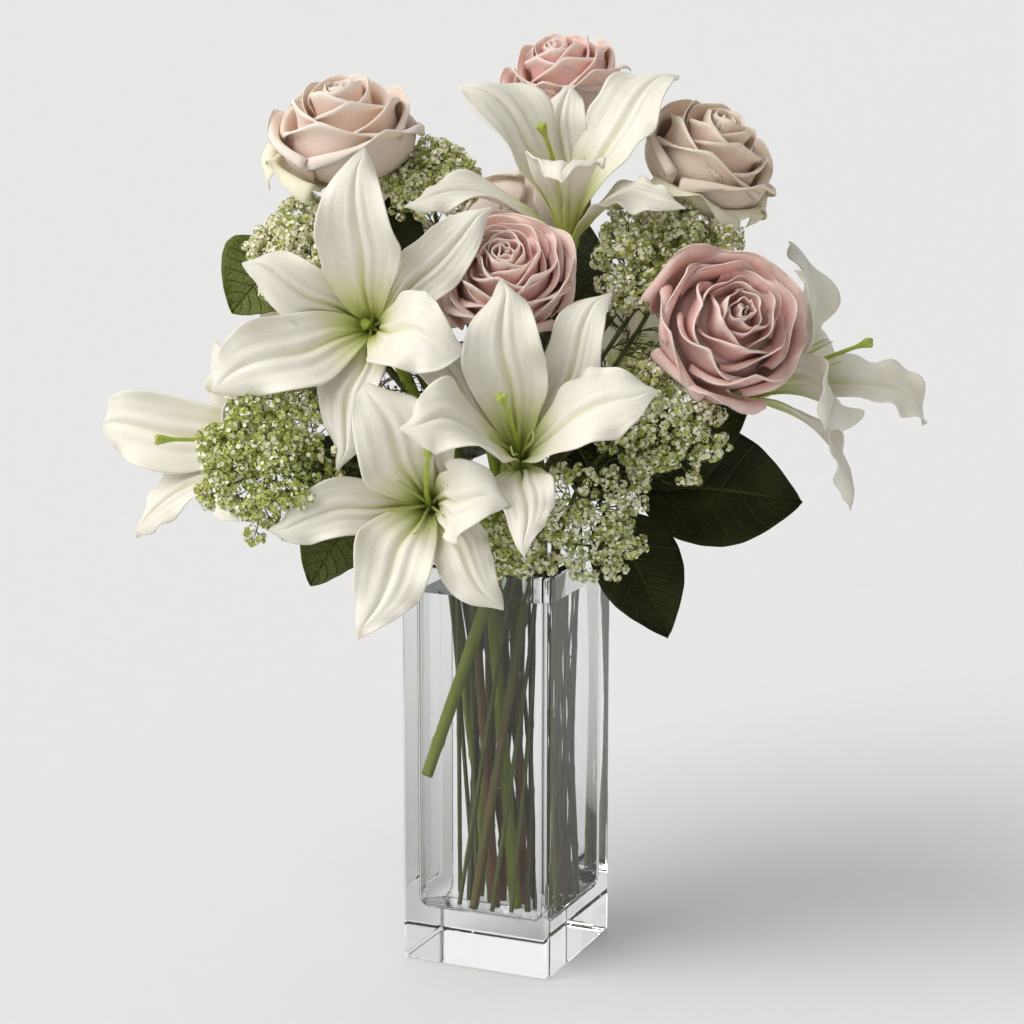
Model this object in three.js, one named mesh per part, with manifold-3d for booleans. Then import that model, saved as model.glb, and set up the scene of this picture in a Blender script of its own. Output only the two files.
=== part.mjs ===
// A florist's arrangement of white lilies, blush roses, lace flower and broad leaves,
// standing in a tall square vase of thick clear glass that is filled with water.
//
// Units are millimetres and +Z is up. The origin is the middle of the vase's underside, and the
// vase's walls lie along X and Y. The bouquet is laid out in its own turned frame (u, v, z):
// u runs to the viewer's right, v away from the viewer, and z up from the table.
import * as THREE from "three";
import Module from "manifold-3d";
import { mergeVertices } from "three/addons/utils/BufferGeometryUtils.js";

const wasm = await Module();
wasm.setup();

// ---------------------------------------------------------------- driving dimensions
const GAP = 0.3; // air between two pieces that touch
const BOUQUET_TURN = THREE.MathUtils.degToRad(24); // the viewer stands this far right of the vase's front
const GOLDEN = Math.PI * (3 - Math.sqrt(5));

const VASE = { side: 90, height: 230, wall: 7, base: 30, corner: 3, bore: 7, foot: 2, arcs: 3 };
const WATER_LEVEL = 214;
const NECK_Z = 234; // the stems are gathered here, just above the rim
const FLOOR_Z = VASE.base + GAP;
// From neck to foot the outer ring of stems turns one way and the inner rings the other.
const OUTER_RING = 25; // stems further out than this at the neck are in the outer ring
const OUTER_TURN = THREE.MathUtils.degToRad(-75);
const INNER_TURN = THREE.MathUtils.degToRad(60);
const FOOT_SPREAD = 0.95;
const STEM_STEPS = 4; // pieces in the curved stretch of a stem

// A lily's receptacle reaches hub down its axis and cup out from it; its stem runs straight there.
const LILY = {
  length: 112, blade: 1.1, cup: 7, hub: 9, stem: 3.6, twig: 2.8, straight: 10, fork: 0.12,
};
// The two kinds of lily petal: each starts at root from the axis, flares and rises, then hooks back.
const INNER_PETAL = { width: 45, root: 3.6, flare: 8, rise: 0.42, wave: 2.6, rows: 5 };
const OUTER_PETAL = { width: 33, root: 5.6, flare: 12, rise: 0.28, wave: 1.3, rows: 4 };
const PETAL_HOOK = 0.27; // share of a petal's length that its hook takes
const PETAL_STEP = Math.PI / 3;
const FILAMENT = { radius: 0.75, spread: 8, rise: 0.62, count: 6 };
// Along a pistil, from its foot to its stigma: [share of its length, radius].
const PISTIL_SHAPE = [[0, 2.6], [0.08, 2], [0.5, 1.4], [0.9, 1.3], [0.96, 3.1], [1, 2]];
const ROSE = { blade: 1.2, stem: 2.6, hip: 7, hipDepth: 6, straight: 16, lap: 0.05, turn: 0.17, seat: 0.6 };
const CALYX = { arms: 5, outer: 19, inner: 5.5, top: 1, bottom: -1.5, lean: -5 };
const LACE = { ray: 0.75, umbellet: 8.8, arms: 4, stem: 1.5, tilt: 68 };
const LEAF = { blade: 0.9, stalk: 0.14, stem: 2.1, bow: 0.09, fold: 0.2, rows: 4 };

// ---------------------------------------------------------------- small helpers
const vec = (a) => new THREE.Vector3(...a);
const unit = (a) => vec(a).normalize();
const mix = THREE.MathUtils.lerp;
const smooth = (x, a, b) => THREE.MathUtils.smoothstep(x, a, b);
const polar = (radius, degrees) => {
  const a = THREE.MathUtils.degToRad(degrees);
  return [radius * Math.cos(a), radius * Math.sin(a)];
};

// A closed geometry as a manifold-3d solid.
function solidOf(geometry) {
  const bare = geometry.clone();
  for (const name of Object.keys(bare.attributes)) if (name !== "position") bare.deleteAttribute(name);
  const merged = mergeVertices(bare, 1e-3);
  const kept = [];
  for (let i = 0; i < merged.index.count; i += 3) {
    const [a, b, c] = [0, 1, 2].map((k) => merged.index.getX(i + k));
    if (a !== b && b !== c && a !== c) kept.push(a, b, c);
  }
  return new wasm.Manifold(
    new wasm.Mesh({
      numProp: 3,
      vertProperties: merged.attributes.position.array,
      triVerts: new Uint32Array(kept),
    }),
  );
}

// A closed surface given as points and triangles, turned to face outward, as a solid.
function closedSolid(points, index) {
  const geometry = new THREE.BufferGeometry();
  geometry.setAttribute("position", new THREE.Float32BufferAttribute(points.flatMap((p) => [...p]), 3));
  geometry.setIndex(index);
  const solid = solidOf(geometry);
  if (solid.volume() > 0) return solid;
  geometry.setIndex(index.toReversed());
  return solidOf(geometry);
}

// A manifold-3d solid as a geometry with flat shading.
function geometryOf(solid) {
  const mesh = solid.getMesh();
  const position = new Float32Array(mesh.numVert * 3);
  for (let i = 0; i < mesh.numVert; i++) {
    position.set(mesh.vertProperties.subarray(i * mesh.numProp, i * mesh.numProp + 3), i * 3);
  }
  const geometry = new THREE.BufferGeometry();
  geometry.setAttribute("position", new THREE.BufferAttribute(position, 3));
  geometry.setIndex(new THREE.BufferAttribute(new Uint32Array(mesh.triVerts), 1));
  geometry.computeVertexNormals();
  return geometry;
}

// Several solids fused into one, without slivers; a crumb that is left loose is dropped.
function fuse(solids) {
  const whole = wasm.Manifold.union(solids).simplify(0.01);
  return whole.decompose().sort((a, b) => b.volume() - a.volume())[0];
}

// A thin closed blade whose middle surface is at(t, s), with t from root to tip and s from -1 to 1.
// Both faces are split into triangles alike, so a waved blade never crosses itself.
function blade(at, rows, columns, thickness) {
  const step = 1e-3;
  const points = [];
  for (let i = 0; i <= rows; i++) {
    for (let j = 0; j <= columns; j++) {
      const t = i / rows;
      const s = (2 * j) / columns - 1;
      const near = Math.min(t, 1 - 2 * step);
      const along = at(near + step, s).sub(at(near, s));
      const across = at(near, s + step).sub(at(near, s - step));
      const normal = along.cross(across).normalize().multiplyScalar(thickness / 2);
      const middle = at(t, s);
      points.push(middle.clone().add(normal), middle.clone().sub(normal));
    }
  }
  const id = (i, j, side) => 2 * (i * (columns + 1) + j) + side;
  const index = [];
  const quad = (a, b, c, d) => index.push(a, b, c, a, c, d);
  for (let i = 0; i < rows; i++) {
    for (let j = 0; j < columns; j++) {
      quad(id(i, j, 0), id(i + 1, j, 0), id(i + 1, j + 1, 0), id(i, j + 1, 0));
      index.push(id(i, j, 1), id(i + 1, j + 1, 1), id(i + 1, j, 1));
      index.push(id(i, j, 1), id(i, j + 1, 1), id(i + 1, j + 1, 1));
    }
    quad(id(i, 0, 0), id(i, 0, 1), id(i + 1, 0, 1), id(i + 1, 0, 0));
    quad(id(i, columns, 0), id(i + 1, columns, 0), id(i + 1, columns, 1), id(i, columns, 1));
  }
  for (let j = 0; j < columns; j++) {
    quad(id(0, j, 0), id(0, j + 1, 0), id(0, j + 1, 1), id(0, j, 1));
    quad(id(rows, j, 0), id(rows, j, 1), id(rows, j + 1, 1), id(rows, j + 1, 0));
  }
  return closedSolid(points, index);
}

// A closed solid through rings of points, all of the same count.
function through(rings) {
  const sides = rings[0].length;
  const last = (rings.length - 1) * sides;
  const index = [];
  for (let from = 0; from < last; from += sides) {
    for (let k = 0; k < sides; k++) {
      const [a, b] = [from + k, from + ((k + 1) % sides)];
      index.push(a, b, b + sides, a, b + sides, a + sides);
    }
  }
  for (let k = 1; k < sides - 1; k++) {
    index.push(0, k + 1, k);
    index.push(last, last + k, last + k + 1);
  }
  return closedSolid(rings.flat(), index);
}

// A closed tube through a list of points, with its rings square to the way it bends.
function sweep(points, radius, sides) {
  const last = points.length - 1;
  let side = new THREE.Vector3(1, 0, 0);
  const rings = points.map((point, i) => {
    const tangent = points[Math.min(i + 1, last)].clone().sub(points[Math.max(i - 1, 0)]).normalize();
    side = side.clone().addScaledVector(tangent, -side.dot(tangent)).normalize();
    const other = tangent.clone().cross(side);
    return Array.from({ length: sides }, (_, k) => {
      const a = (2 * Math.PI * k) / sides;
      const out = side.clone().multiplyScalar(Math.cos(a)).addScaledVector(other, Math.sin(a));
      return point.clone().addScaledVector(out, radius(i));
    });
  });
  return through(rings);
}

// A solid of revolution from [radius, height] points, standing at a point along an axis.
function turned(profile, sides, at, axis) {
  const points = profile.map(([r, h]) => new THREE.Vector2(r, h));
  const geometry = new THREE.LatheGeometry(points, sides);
  geometry.rotateX(Math.PI / 2);
  const turn = new THREE.Quaternion().setFromUnitVectors(new THREE.Vector3(0, 0, 1), unit(axis));
  geometry.applyQuaternion(turn);
  geometry.translate(...at);
  return solidOf(geometry);
}

// ---------------------------------------------------------------- the vase and its water
// A square with round corners, of half width a and corner radius r, counterclockwise.
function roundedSquare(a, r) {
  const { arcs } = VASE;
  const points = [];
  for (let corner = 0; corner < 4; corner++) {
    const middle = (corner * Math.PI) / 2 + Math.PI / 4;
    const cx = Math.sign(Math.cos(middle)) * (a - r);
    const cy = Math.sign(Math.sin(middle)) * (a - r);
    for (let k = 0; k <= arcs; k++) {
      const angle = (corner * Math.PI) / 2 + (k * Math.PI) / 2 / arcs;
      points.push([cx + r * Math.cos(angle), cy + r * Math.sin(angle)]);
    }
  }
  return points;
}

// A closed pillar through square rings of [half width, corner radius, height], bottom to top.
const pillar = (rings) =>
  through(rings.map(([a, r, z]) => roundedSquare(a, r).map(([x, y]) => new THREE.Vector3(x, y, z))));

const BORE_HALF = VASE.side / 2 - VASE.wall;

// The rings of the hollow, with a floor whose edge is rounded, shrunk by clear on every side.
function boreRings(clear, top) {
  const { base, bore } = VASE;
  const half = BORE_HALF - clear;
  return [
    [half - bore, 1, base + clear],
    [half - 0.3 * bore, bore * 0.6, base + clear + 0.3 * bore],
    [half, bore, base + clear + bore],
    [half, bore, top],
  ];
}

function vaseSolid() {
  const { side, height, corner, foot } = VASE;
  const half = side / 2;
  const outside = pillar([
    [half - foot, corner, 0],
    [half, corner, foot],
    [half, corner, height - foot / 2],
    [half - foot / 2, corner, height],
  ]);
  return outside.subtract(pillar(boreRings(0, height + 1)));
}

// ---------------------------------------------------------------- stems
// Where a stem stands on the vase's floor, below its place in the neck.
function footBelow([u, v]) {
  const spiral = Math.hypot(u, v) > OUTER_RING ? OUTER_TURN : INNER_TURN;
  const turn = new THREE.Vector2(u, v).rotateAround(new THREE.Vector2(), spiral);
  return turn.multiplyScalar(FOOT_SPREAD).toArray();
}

// The two stretches of a stem: straight from foot to neck, then curving out to its end.
function stemCurves({ neck, foot = footBelow(neck), footZ = FLOOR_Z, end, arrive, reach = 0.4 }) {
  const low = vec([...foot, footZ]);
  const mid = vec([...neck, NECK_Z]);
  const rise = mid.clone().sub(low).normalize();
  const last = vec(end);
  const span = last.distanceTo(mid) * reach;
  const out = new THREE.CubicBezierCurve3(
    mid,
    mid.clone().addScaledVector(rise, span),
    last.clone().addScaledVector(unit(arrive), -span),
    last,
  );
  return { low, mid, rise, out };
}

// Every stem that stands in the water is kept here, for its hole there.
const inWater = [];

// A stem from the vase's floor to plan.end, and on through a tail of [point, radius]. Its foot is
// cut level on the floor, unless it ends short in the water at plan.footZ.
function stemSolid(plan, radius, sides, tail = []) {
  const { low, rise, out } = stemCurves(plan);
  const start = low.clone().addScaledVector(rise, plan.footZ ? 0 : -2 * radius);
  const course = Array.from({ length: STEM_STEPS + 1 }, (_, i) => out.getPoint(i / STEM_STEPS));
  const even = [start, ...course];
  const points = [...even, ...tail.map(([point]) => point)];
  const radii = [...even.map(() => radius), ...tail.map(([, wide]) => wide)];
  inWater.push({ points: points.slice(0, 3), radius, sides, short: Boolean(plan.footZ) });
  const solid = sweep(points, (i) => radii[i], sides);
  return plan.footZ ? solid : solid.trimByPlane([0, 0, 1], FLOOR_Z);
}

// The water, with a plain hole round each stem.
function waterSolid() {
  const holes = inWater.map(({ points, radius, sides, short }) => {
    const [foot, neck, next] = points;
    const start = short ? foot.clone().sub(neck).setLength(GAP).add(foot) : foot;
    return sweep([start, neck, next], () => radius + GAP / Math.cos(Math.PI / sides), sides);
  });
  const shafts = wasm.Manifold.union(holes).rotate([0, 0, THREE.MathUtils.radToDeg(BOUQUET_TURN)]);
  return fuse([pillar(boreRings(GAP, WATER_LEVEL)).subtract(shafts)]);
}

// ---------------------------------------------------------------- lilies
// base is where the petals join, axis the way the bloom faces, and each petal is
// [tip u, tip v, tip z, inner], with its tip measured from the base. The petals stand round the
// axis with inner and outer ones in turn; the inner ones are broad.
const LILIES = {
  left: {
    base: [-72, -28, 362], axis: [-0.12, -0.95, 0.25], hook: 125,
    petals: [
      [-2, -42, 100, 1], [64, -34, 68, 0], [50, -70, -4, 1],
      [-17, -56, -68, 0], [-84, -40, -28, 1], [-68, -26, 38, 0],
    ],
    style: [-4, -18, 5],
    filaments: 0,
  },
  top: {
    base: [33, 8, 405], axis: [-0.05, -0.42, 0.9], hook: 120,
    petals: [
      [-60, -2, 84, 1], [0, 38, 83, 0], [62, 20, 89, 1],
      [62, -46, 22, 0], [-4, -72, 38, 1], [-88, -36, 22, 0],
    ],
    style: [-15, -26, 66],
  },
  front: {
    base: [7, -58, 293], axis: [-0.05, -0.8, 0.6], hook: 120,
    petals: [
      [-10, -19, 101, 1], [48, -6, 92, 0], [71, -44, 46, 1],
      [2, -78, -34, 0], [-62, -62, 29, 1], [-62, -14, 68, 0],
    ],
    style: [-10, -58, 46],
  },
  low: {
    base: [-40, -52, 268], axis: [-0.12, -0.93, 0.3], hook: 120,
    petals: [
      [-86, -33, -6, 0], [-38, -54, -60, 1], [38, -54, -44, 0],
      [41, -72, 16, 1], [8, -20, 58, 0], [-34, -38, 74, 1],
    ],
    style: [0, -60, 43],
  },
  far_left: {
    base: [-114, 34, 287], axis: [-0.86, -0.48, 0.15], hook: 125,
    petals: [
      [-118, 22, 6, 1], [-96, -12, -52, 0], [-34, -54, -34, 1],
      [-10, -58, 4, 0], [-30, -44, 54, 1], [-52, 20, 56, 0],
    ],
    style: [-82, -30, 8],
    filaments: 0,
  },
  right: {
    base: [134, 20, 318], axis: [0.8, -0.28, 0.45], hook: 130,
    petals: [
      [100, 0, -18, 1], [55, -42, -58, 0], [36, -76, -8, 1],
      [22, -40, 74, 0], [26, 34, 82, 1], [48, 64, 26, 0],
    ],
    style: [66, -30, 34],
  },
  back_left: {
    base: [-58, 66, 352], axis: [-0.45, 0.8, 0.4], hook: 125,
    petals: [
      [-20, 34, 98, 1], [22, 62, 50, 0], [36, 86, -12, 1],
      [-26, 60, -64, 0], [-90, 40, -14, 1], [-84, 16, 54, 0],
    ],
    style: [-30, 60, 34],
    filaments: 0,
  },
  back_right: {
    base: [66, 70, 316], axis: [0.4, 0.88, 0.2], hook: 125,
    petals: [
      [10, 46, 88, 1], [86, 18, 52, 0], [90, 40, -14, 1],
      [30, 62, -66, 0], [-30, 92, -30, 1], [-42, 70, 36, 0],
    ],
    style: [26, 70, 16],
    filaments: 0,
  },
};

// Half the width of a petal at t, as a share of its greatest half width.
function petalOutline(t) {
  const beyondMiddle = Math.max(0, 2 * t - 1);
  return mix(0.3, 1, smooth(t, 0, 0.5)) * Math.max(0, 1 - beyondMiddle ** 2.1) ** 0.8;
}

// Two directions square to an axis, the second one upward.
function squareTo(axis) {
  const across = new THREE.Vector3(0, 0, 1).cross(axis).normalize();
  return [across, axis.clone().cross(across)];
}

// The petals in order round the axis: each leaves the root evenly spaced and turns to its own tip.
function petalPlaces(bloom) {
  const axis = unit(bloom.axis);
  const [across, upward] = squareTo(axis);
  const places = bloom.petals.map(([u, v, z, inner]) => {
    const tip = vec([u, v, z]);
    const own = Math.atan2(tip.dot(upward), tip.dot(across));
    const height = tip.dot(axis);
    return { own, inner, height, reach: Math.sqrt(tip.lengthSq() - height * height) };
  });
  places.sort((a, b) => a.own - b.own);
  const shift = places.reduce((sum, place, k) => sum + place.own - k * PETAL_STEP, 0) / places.length;
  return places.map((place, k) => ({ ...place, even: shift + k * PETAL_STEP, order: k }));
}

// The middle surface of one petal, from its root on the receptacle to its tip. The root wraps
// round the axis, so that the petals of a bloom overlap there without crossing.
function petalSurface(bloom, { own, even, inner, height, reach, order }) {
  const axis = unit(bloom.axis);
  const [across] = squareTo(axis);
  const endAngle = THREE.MathUtils.degToRad(bloom.hook);
  const kind = inner ? INNER_PETAL : OUTER_PETAL;
  const hookLength = LILY.length * PETAL_HOOK;
  const curve = new THREE.CubicBezierCurve(
    new THREE.Vector2(kind.root, 0),
    new THREE.Vector2(kind.root + kind.flare, LILY.length * kind.rise),
    new THREE.Vector2(reach - hookLength * Math.sin(endAngle), height - hookLength * Math.cos(endAngle)),
    new THREE.Vector2(reach, height),
  );
  const half = kind.width / 2;
  return (t, s) => {
    const azimuth = mix(even, own, smooth(t, 0.05, 0.75));
    const outward = across.clone().applyAxisAngle(axis, azimuth);
    const side = axis.clone().cross(outward);
    const p = curve.getPoint(t);
    const d = curve.getTangent(t);
    const inward = outward.clone().multiplyScalar(-d.y).addScaledVector(axis, d.x);
    const w = Math.min(half * petalOutline(t), 0.98 * PETAL_STEP * p.x);
    const bend = mix(1 / p.x, 0.45 / half, smooth(t, 0.05, 0.45)) * (1 - 0.9 * smooth(t, 0.55, 1));
    const waved = kind.wave * smooth(t, 0.3, 0.6) * (1 - smooth(t, 0.9, 1)) * Math.abs(s) ** 3;
    const phase = 1.7 * order + 11 * t + (s > 0 ? 2.1 : 0);
    const lift = (1 - Math.cos(s * w * bend)) / bend + waved * Math.sin(phase);
    return vec(bloom.base)
      .addScaledVector(outward, p.x)
      .addScaledVector(axis, p.y)
      .addScaledVector(side, Math.sin(s * w * bend) / bend)
      .addScaledVector(inward, lift);
  };
}

function lilyBloom(bloom) {
  const { cup, hub } = LILY;
  const profile = [[0, -hub], [4, -hub], [cup, -1], [cup, 2], [0, 3]];
  const receptacle = turned(profile, 6, bloom.base, bloom.axis);
  const petals = petalPlaces(bloom).map((place) => {
    const { rows } = place.inner ? INNER_PETAL : OUTER_PETAL;
    return blade(petalSurface(bloom, place), rows, 2, LILY.blade);
  });
  return fuse([receptacle, ...petals]);
}

// The pistil, which ends in a thick stigma, with the filaments that stand round its foot.
function lilyPistil(bloom) {
  const axis = unit(bloom.axis);
  const seat = vec(bloom.base).addScaledVector(axis, 3 + GAP);
  const tip = vec(bloom.base).add(vec(bloom.style));
  const length = tip.distanceTo(seat);
  const bow = new THREE.QuadraticBezierCurve3(seat, seat.clone().addScaledVector(axis, length * 0.5), tip);
  const parts = [sweep(PISTIL_SHAPE.map(([t]) => bow.getPoint(t)), (i) => PISTIL_SHAPE[i][1], 5)];
  const [across] = squareTo(axis);
  for (let k = 0; k < (bloom.filaments ?? FILAMENT.count); k++) {
    const around = across.clone().applyAxisAngle(axis, (k + 0.4) * PETAL_STEP);
    const from = seat.clone().addScaledVector(axis, 1.5).addScaledVector(around, FILAMENT.radius);
    const rise = length * FILAMENT.rise;
    const to = from.clone().addScaledVector(axis, rise).addScaledVector(around, FILAMENT.spread);
    parts.push(sweep([from, to], () => FILAMENT.radius, 3));
  }
  return fuse(parts);
}

// Each lily stem carries two blooms, one at its end and one on a side branch.
const LILY_STEMS = {
  front: { neck: polar(30, -92), foot: [-43.4, -17.6], footZ: 108, blooms: ["front", "low"] },
  left: { neck: polar(29, 164), blooms: ["left", "far_left"] },
  right: { neck: polar(17, 67), blooms: ["right", "back_right"] },
  top: { neck: polar(17, 247), blooms: ["top", "back_left"] },
};

// The point that lies a depth below where a bloom's petals join.
function bloomSeat(bloom, depth) {
  return vec(bloom.base).addScaledVector(unit(bloom.axis), -depth - GAP).toArray();
}

// The end of a curve runs on straight to the bloom, so that its end face lies flat under it.
function lilyStem({ neck, foot, footZ, blooms }) {
  const [main, branch] = blooms.map((name) => LILIES[name]);
  const plan = { neck, foot, footZ, end: bloomSeat(main, LILY.hub + LILY.straight), arrive: main.axis };
  const { out } = stemCurves(plan);
  const trunk = stemSolid(plan, LILY.stem, 6, [[vec(bloomSeat(main, LILY.hub)), LILY.stem]]);
  const from = out.getPoint(LILY.fork);
  const end = vec(bloomSeat(branch, LILY.hub + LILY.straight));
  const span = end.distanceTo(from) * 0.4;
  const twig = new THREE.CubicBezierCurve3(
    from,
    from.clone().addScaledVector(out.getTangent(LILY.fork), span),
    end.clone().addScaledVector(unit(branch.axis), -span),
    end,
  );
  const points = [0, 0.25, 0.5, 0.75, 1].map((t) => twig.getPoint(t));
  points.push(vec(bloomSeat(branch, LILY.hub)));
  return fuse([trunk, sweep(points, () => LILY.twig, 6)]);
}

// ---------------------------------------------------------------- roses
// centre is the middle of the head, axis the way it faces, and size its outer radius.
const ROSES = {
  left: { centre: [-89, 22, 463], axis: [-0.1, -0.28, 0.95], size: 43, turn: 10, neck: polar(17, 202) },
  top: { centre: [32, 80, 490], axis: [-0.25, -0.3, 0.92], size: 34, turn: 60, neck: polar(5, 160) },
  right: { centre: [110, 22, 449], axis: [0.42, -0.3, 0.85], size: 40, turn: 30, neck: polar(5, -20) },
  middle: { centre: [0, -47, 391], axis: [-0.05, -0.74, 0.67], size: 39, turn: 0, neck: polar(29, -52) },
  front: { centre: [116, -45, 364], axis: [0.3, -0.84, 0.45], size: 46, turn: 45, neck: polar(17, 292) },
  back: { centre: [8, 108, 403], axis: [-0.05, 0.86, 0.5], size: 38, turn: 20, neck: polar(29, 92) },
};

// Whorls of petals from the outside in, with their shape as shares of the head's size: height of
// the root, belly radius, rim radius, rim height and roll of the rim, and the levels up a petal.
const ROSE_WHORLS = [
  { root: 0, belly: 0.84, rim: 0.86, height: 0.94, roll: 0.16, levels: [0.35, 0.75, 1] },
  { root: 0.07, belly: 0.64, rim: 0.64, height: 1.16, roll: 0.1, levels: [0.6, 1] },
  { root: 0.14, belly: 0.43, rim: 0.4, height: 1.3, roll: 0.05, levels: [0.6, 1] },
  { root: 0.2, belly: 0.24, rim: 0.17, height: 1.32, roll: 0, levels: [0.7, 1] },
];
const WHORL_PETALS = 5;

function roseFrame(rose) {
  const axis = unit(rose.axis);
  const [across] = squareTo(axis);
  const base = vec(rose.centre).addScaledVector(axis, -ROSE.seat * rose.size);
  return { axis, across, base };
}

// A ring of points at one level of a whorl, on its outer face (side -1) or inner face (side 1).
// The wall steps inward where a petal slips under the next one, and its rim dips there.
function whorlRing(rose, order, t, side) {
  const { axis, across, base } = roseFrame(rose);
  const { size } = rose;
  const whorl = ROSE_WHORLS[order];
  const curve = new THREE.CubicBezierCurve(
    new THREE.Vector2(0.02 * size, whorl.root * size),
    new THREE.Vector2(whorl.belly * size * 1.15, (whorl.root + 0.02) * size),
    new THREE.Vector2(whorl.belly * size * 1.1, whorl.height * size * 0.6),
    new THREE.Vector2(whorl.rim * size, whorl.height * size),
  );
  const step = (2 * Math.PI) / WHORL_PETALS;
  const start = THREE.MathUtils.degToRad(rose.turn) + order * (ROSE.turn - step / 3);
  return Array.from({ length: 3 * WHORL_PETALS }, (_, c) => {
    const place = c + order;
    const s = (place % 3) - 1;
    const q = t * (1 - 0.13 * s * s * t);
    const p = curve.getPoint(q);
    const d = curve.getTangent(q);
    const inset = (side * ROSE.blade) / 2;
    const roll = whorl.roll * size * smooth(t, 0.5, 1) ** 2;
    const r = p.x - inset * d.y + roll + s * ROSE.lap * mix(1, 0.5, order / 3) * size;
    const angle = start + (Math.floor(place / 3) + 0.5 + 0.47 * s) * step;
    const out = across.clone().applyAxisAngle(axis, angle);
    return base.clone().addScaledVector(out, r).addScaledVector(axis, p.y + inset * d.x - 0.8 * roll);
  });
}

// A rose head as one surface that runs up and down each whorl in turn, from the hip to the bud.
function roseBloom(rose) {
  const { axis, base } = roseFrame(rose);
  const rings = ROSE_WHORLS.flatMap(({ levels }, order) => [
    ...levels.map((t) => whorlRing(rose, order, t, -1)),
    ...levels.toReversed().map((t) => whorlRing(rose, order, t, 1)),
  ]);
  const columns = rings[0].length;
  const bud = base.clone().addScaledVector(axis, 0.85 * rose.size);
  const points = [base, ...rings.flat(), bud];
  const last = points.length - 1;
  const index = [];
  for (let c = 0; c < columns; c++) {
    const next = (c + 1) % columns;
    index.push(0, 1 + next, 1 + c);
    for (let from = 1; from + columns < last; from += columns) {
      const [a, b] = [from + c, from + next];
      index.push(a, b, b + columns, a, b + columns, a + columns);
    }
    index.push(last - columns + c, last - columns + next, last);
  }
  return closedSolid(points, index);
}

// Points given round +Z, turned to stand at a point and face along way.
function standing(points, at, way) {
  const turn = new THREE.Quaternion().setFromUnitVectors(new THREE.Vector3(0, 0, 1), way);
  return points.map((p) => vec(p).applyQuaternion(turn).add(at));
}

// A star with pointed arms and a raised middle, facing along way.
function star(at, way, { arms, outer, inner, top, bottom, lean }) {
  const rim = Array.from({ length: 2 * arms }, (_, k) => {
    const a = (Math.PI * k) / arms;
    const r = k % 2 ? inner : outer;
    return [r * Math.cos(a), r * Math.sin(a), k % 2 ? 0 : lean];
  });
  const index = rim.flatMap((_, k) => {
    const [a, b] = [2 + k, 2 + ((k + 1) % rim.length)];
    return [0, a, b, 1, b, a];
  });
  return closedSolid(standing([[0, 0, top], [0, 0, bottom], ...rim], at, way), index);
}

// The stem, which swells into the green hip, with five sepals close under the head.
function roseStem(rose) {
  const { axis, base } = roseFrame(rose);
  const top = base.clone().addScaledVector(axis, -GAP);
  const below = (depth) => top.clone().addScaledVector(axis, -depth);
  const plan = { neck: rose.neck, end: below(ROSE.straight).toArray(), arrive: rose.axis };
  const hip = [[below(ROSE.hipDepth), ROSE.hip], [top, ROSE.hip * 0.75]];
  return fuse([stemSolid(plan, ROSE.stem, 5, hip), star(below(ROSE.hipDepth / 2), axis, CALYX)]);
}

// ---------------------------------------------------------------- lace flower
// Each spray is an umbel: rays fan out from a hub and each carries a small dome of florets.
// centre is the middle of the umbel's face, axis the way it faces, and size its radius.
const LACES = {
  upper: { centre: [-44, 14, 449], axis: [-0.1, -0.5, 0.86], size: 30, count: 10, neck: polar(29, 68) },
  left: { centre: [-120, 0, 408], axis: [-0.5, -0.65, 0.55], size: 36, count: 11, neck: polar(17, 157) },
  low_left: { centre: [-131, -84, 297], axis: [-0.3, -0.94, 0.1], size: 42, count: 14, neck: polar(29, 188) },
  right: { centre: [90, -22, 412], axis: [0.1, -0.7, 0.7], size: 44, count: 13, neck: polar(17, 337) },
  low_right: { centre: [86, -70, 318], axis: [0.25, -0.95, 0.15], size: 38, count: 12, neck: polar(29, -4) },
  front: { centre: [48, -84, 264], axis: [0.2, -0.95, -0.1], size: 34, count: 11, neck: polar(29, -28) },
  low: { centre: [4, -76, 251], axis: [0.05, -0.97, -0.1], size: 24, count: 6, neck: polar(29, -76) },
  back_left: { centre: [-112, 92, 326], axis: [-0.6, 0.75, 0.3], size: 38, count: 10, neck: polar(29, 212) },
  back_right: { centre: [104, 90, 400], axis: [0.4, 0.8, 0.45], size: 36, count: 10, neck: polar(17, 22) },
};

// Where the domes of florets stand, and which way each faces.
function umbelletPlaces(lace) {
  const axis = unit(lace.axis);
  const [across] = squareTo(axis);
  const rayLength = lace.size * 0.95;
  const hub = vec(lace.centre).addScaledVector(axis, -rayLength * 0.85);
  const places = [];
  for (let k = 0; k < lace.count; k++) {
    const tilt = THREE.MathUtils.degToRad(LACE.tilt) * Math.sqrt((k + 0.3) / lace.count);
    const around = across.clone().applyAxisAngle(axis, k * GOLDEN);
    const way = axis.clone().multiplyScalar(Math.cos(tilt)).addScaledVector(around, Math.sin(tilt));
    const length = rayLength * (1 + 0.1 * Math.sin(5.3 * k)) * mix(1, 1.12, tilt);
    places.push({ at: hub.clone().addScaledVector(way, length), way });
  }
  return { hub, axis, places };
}

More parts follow.
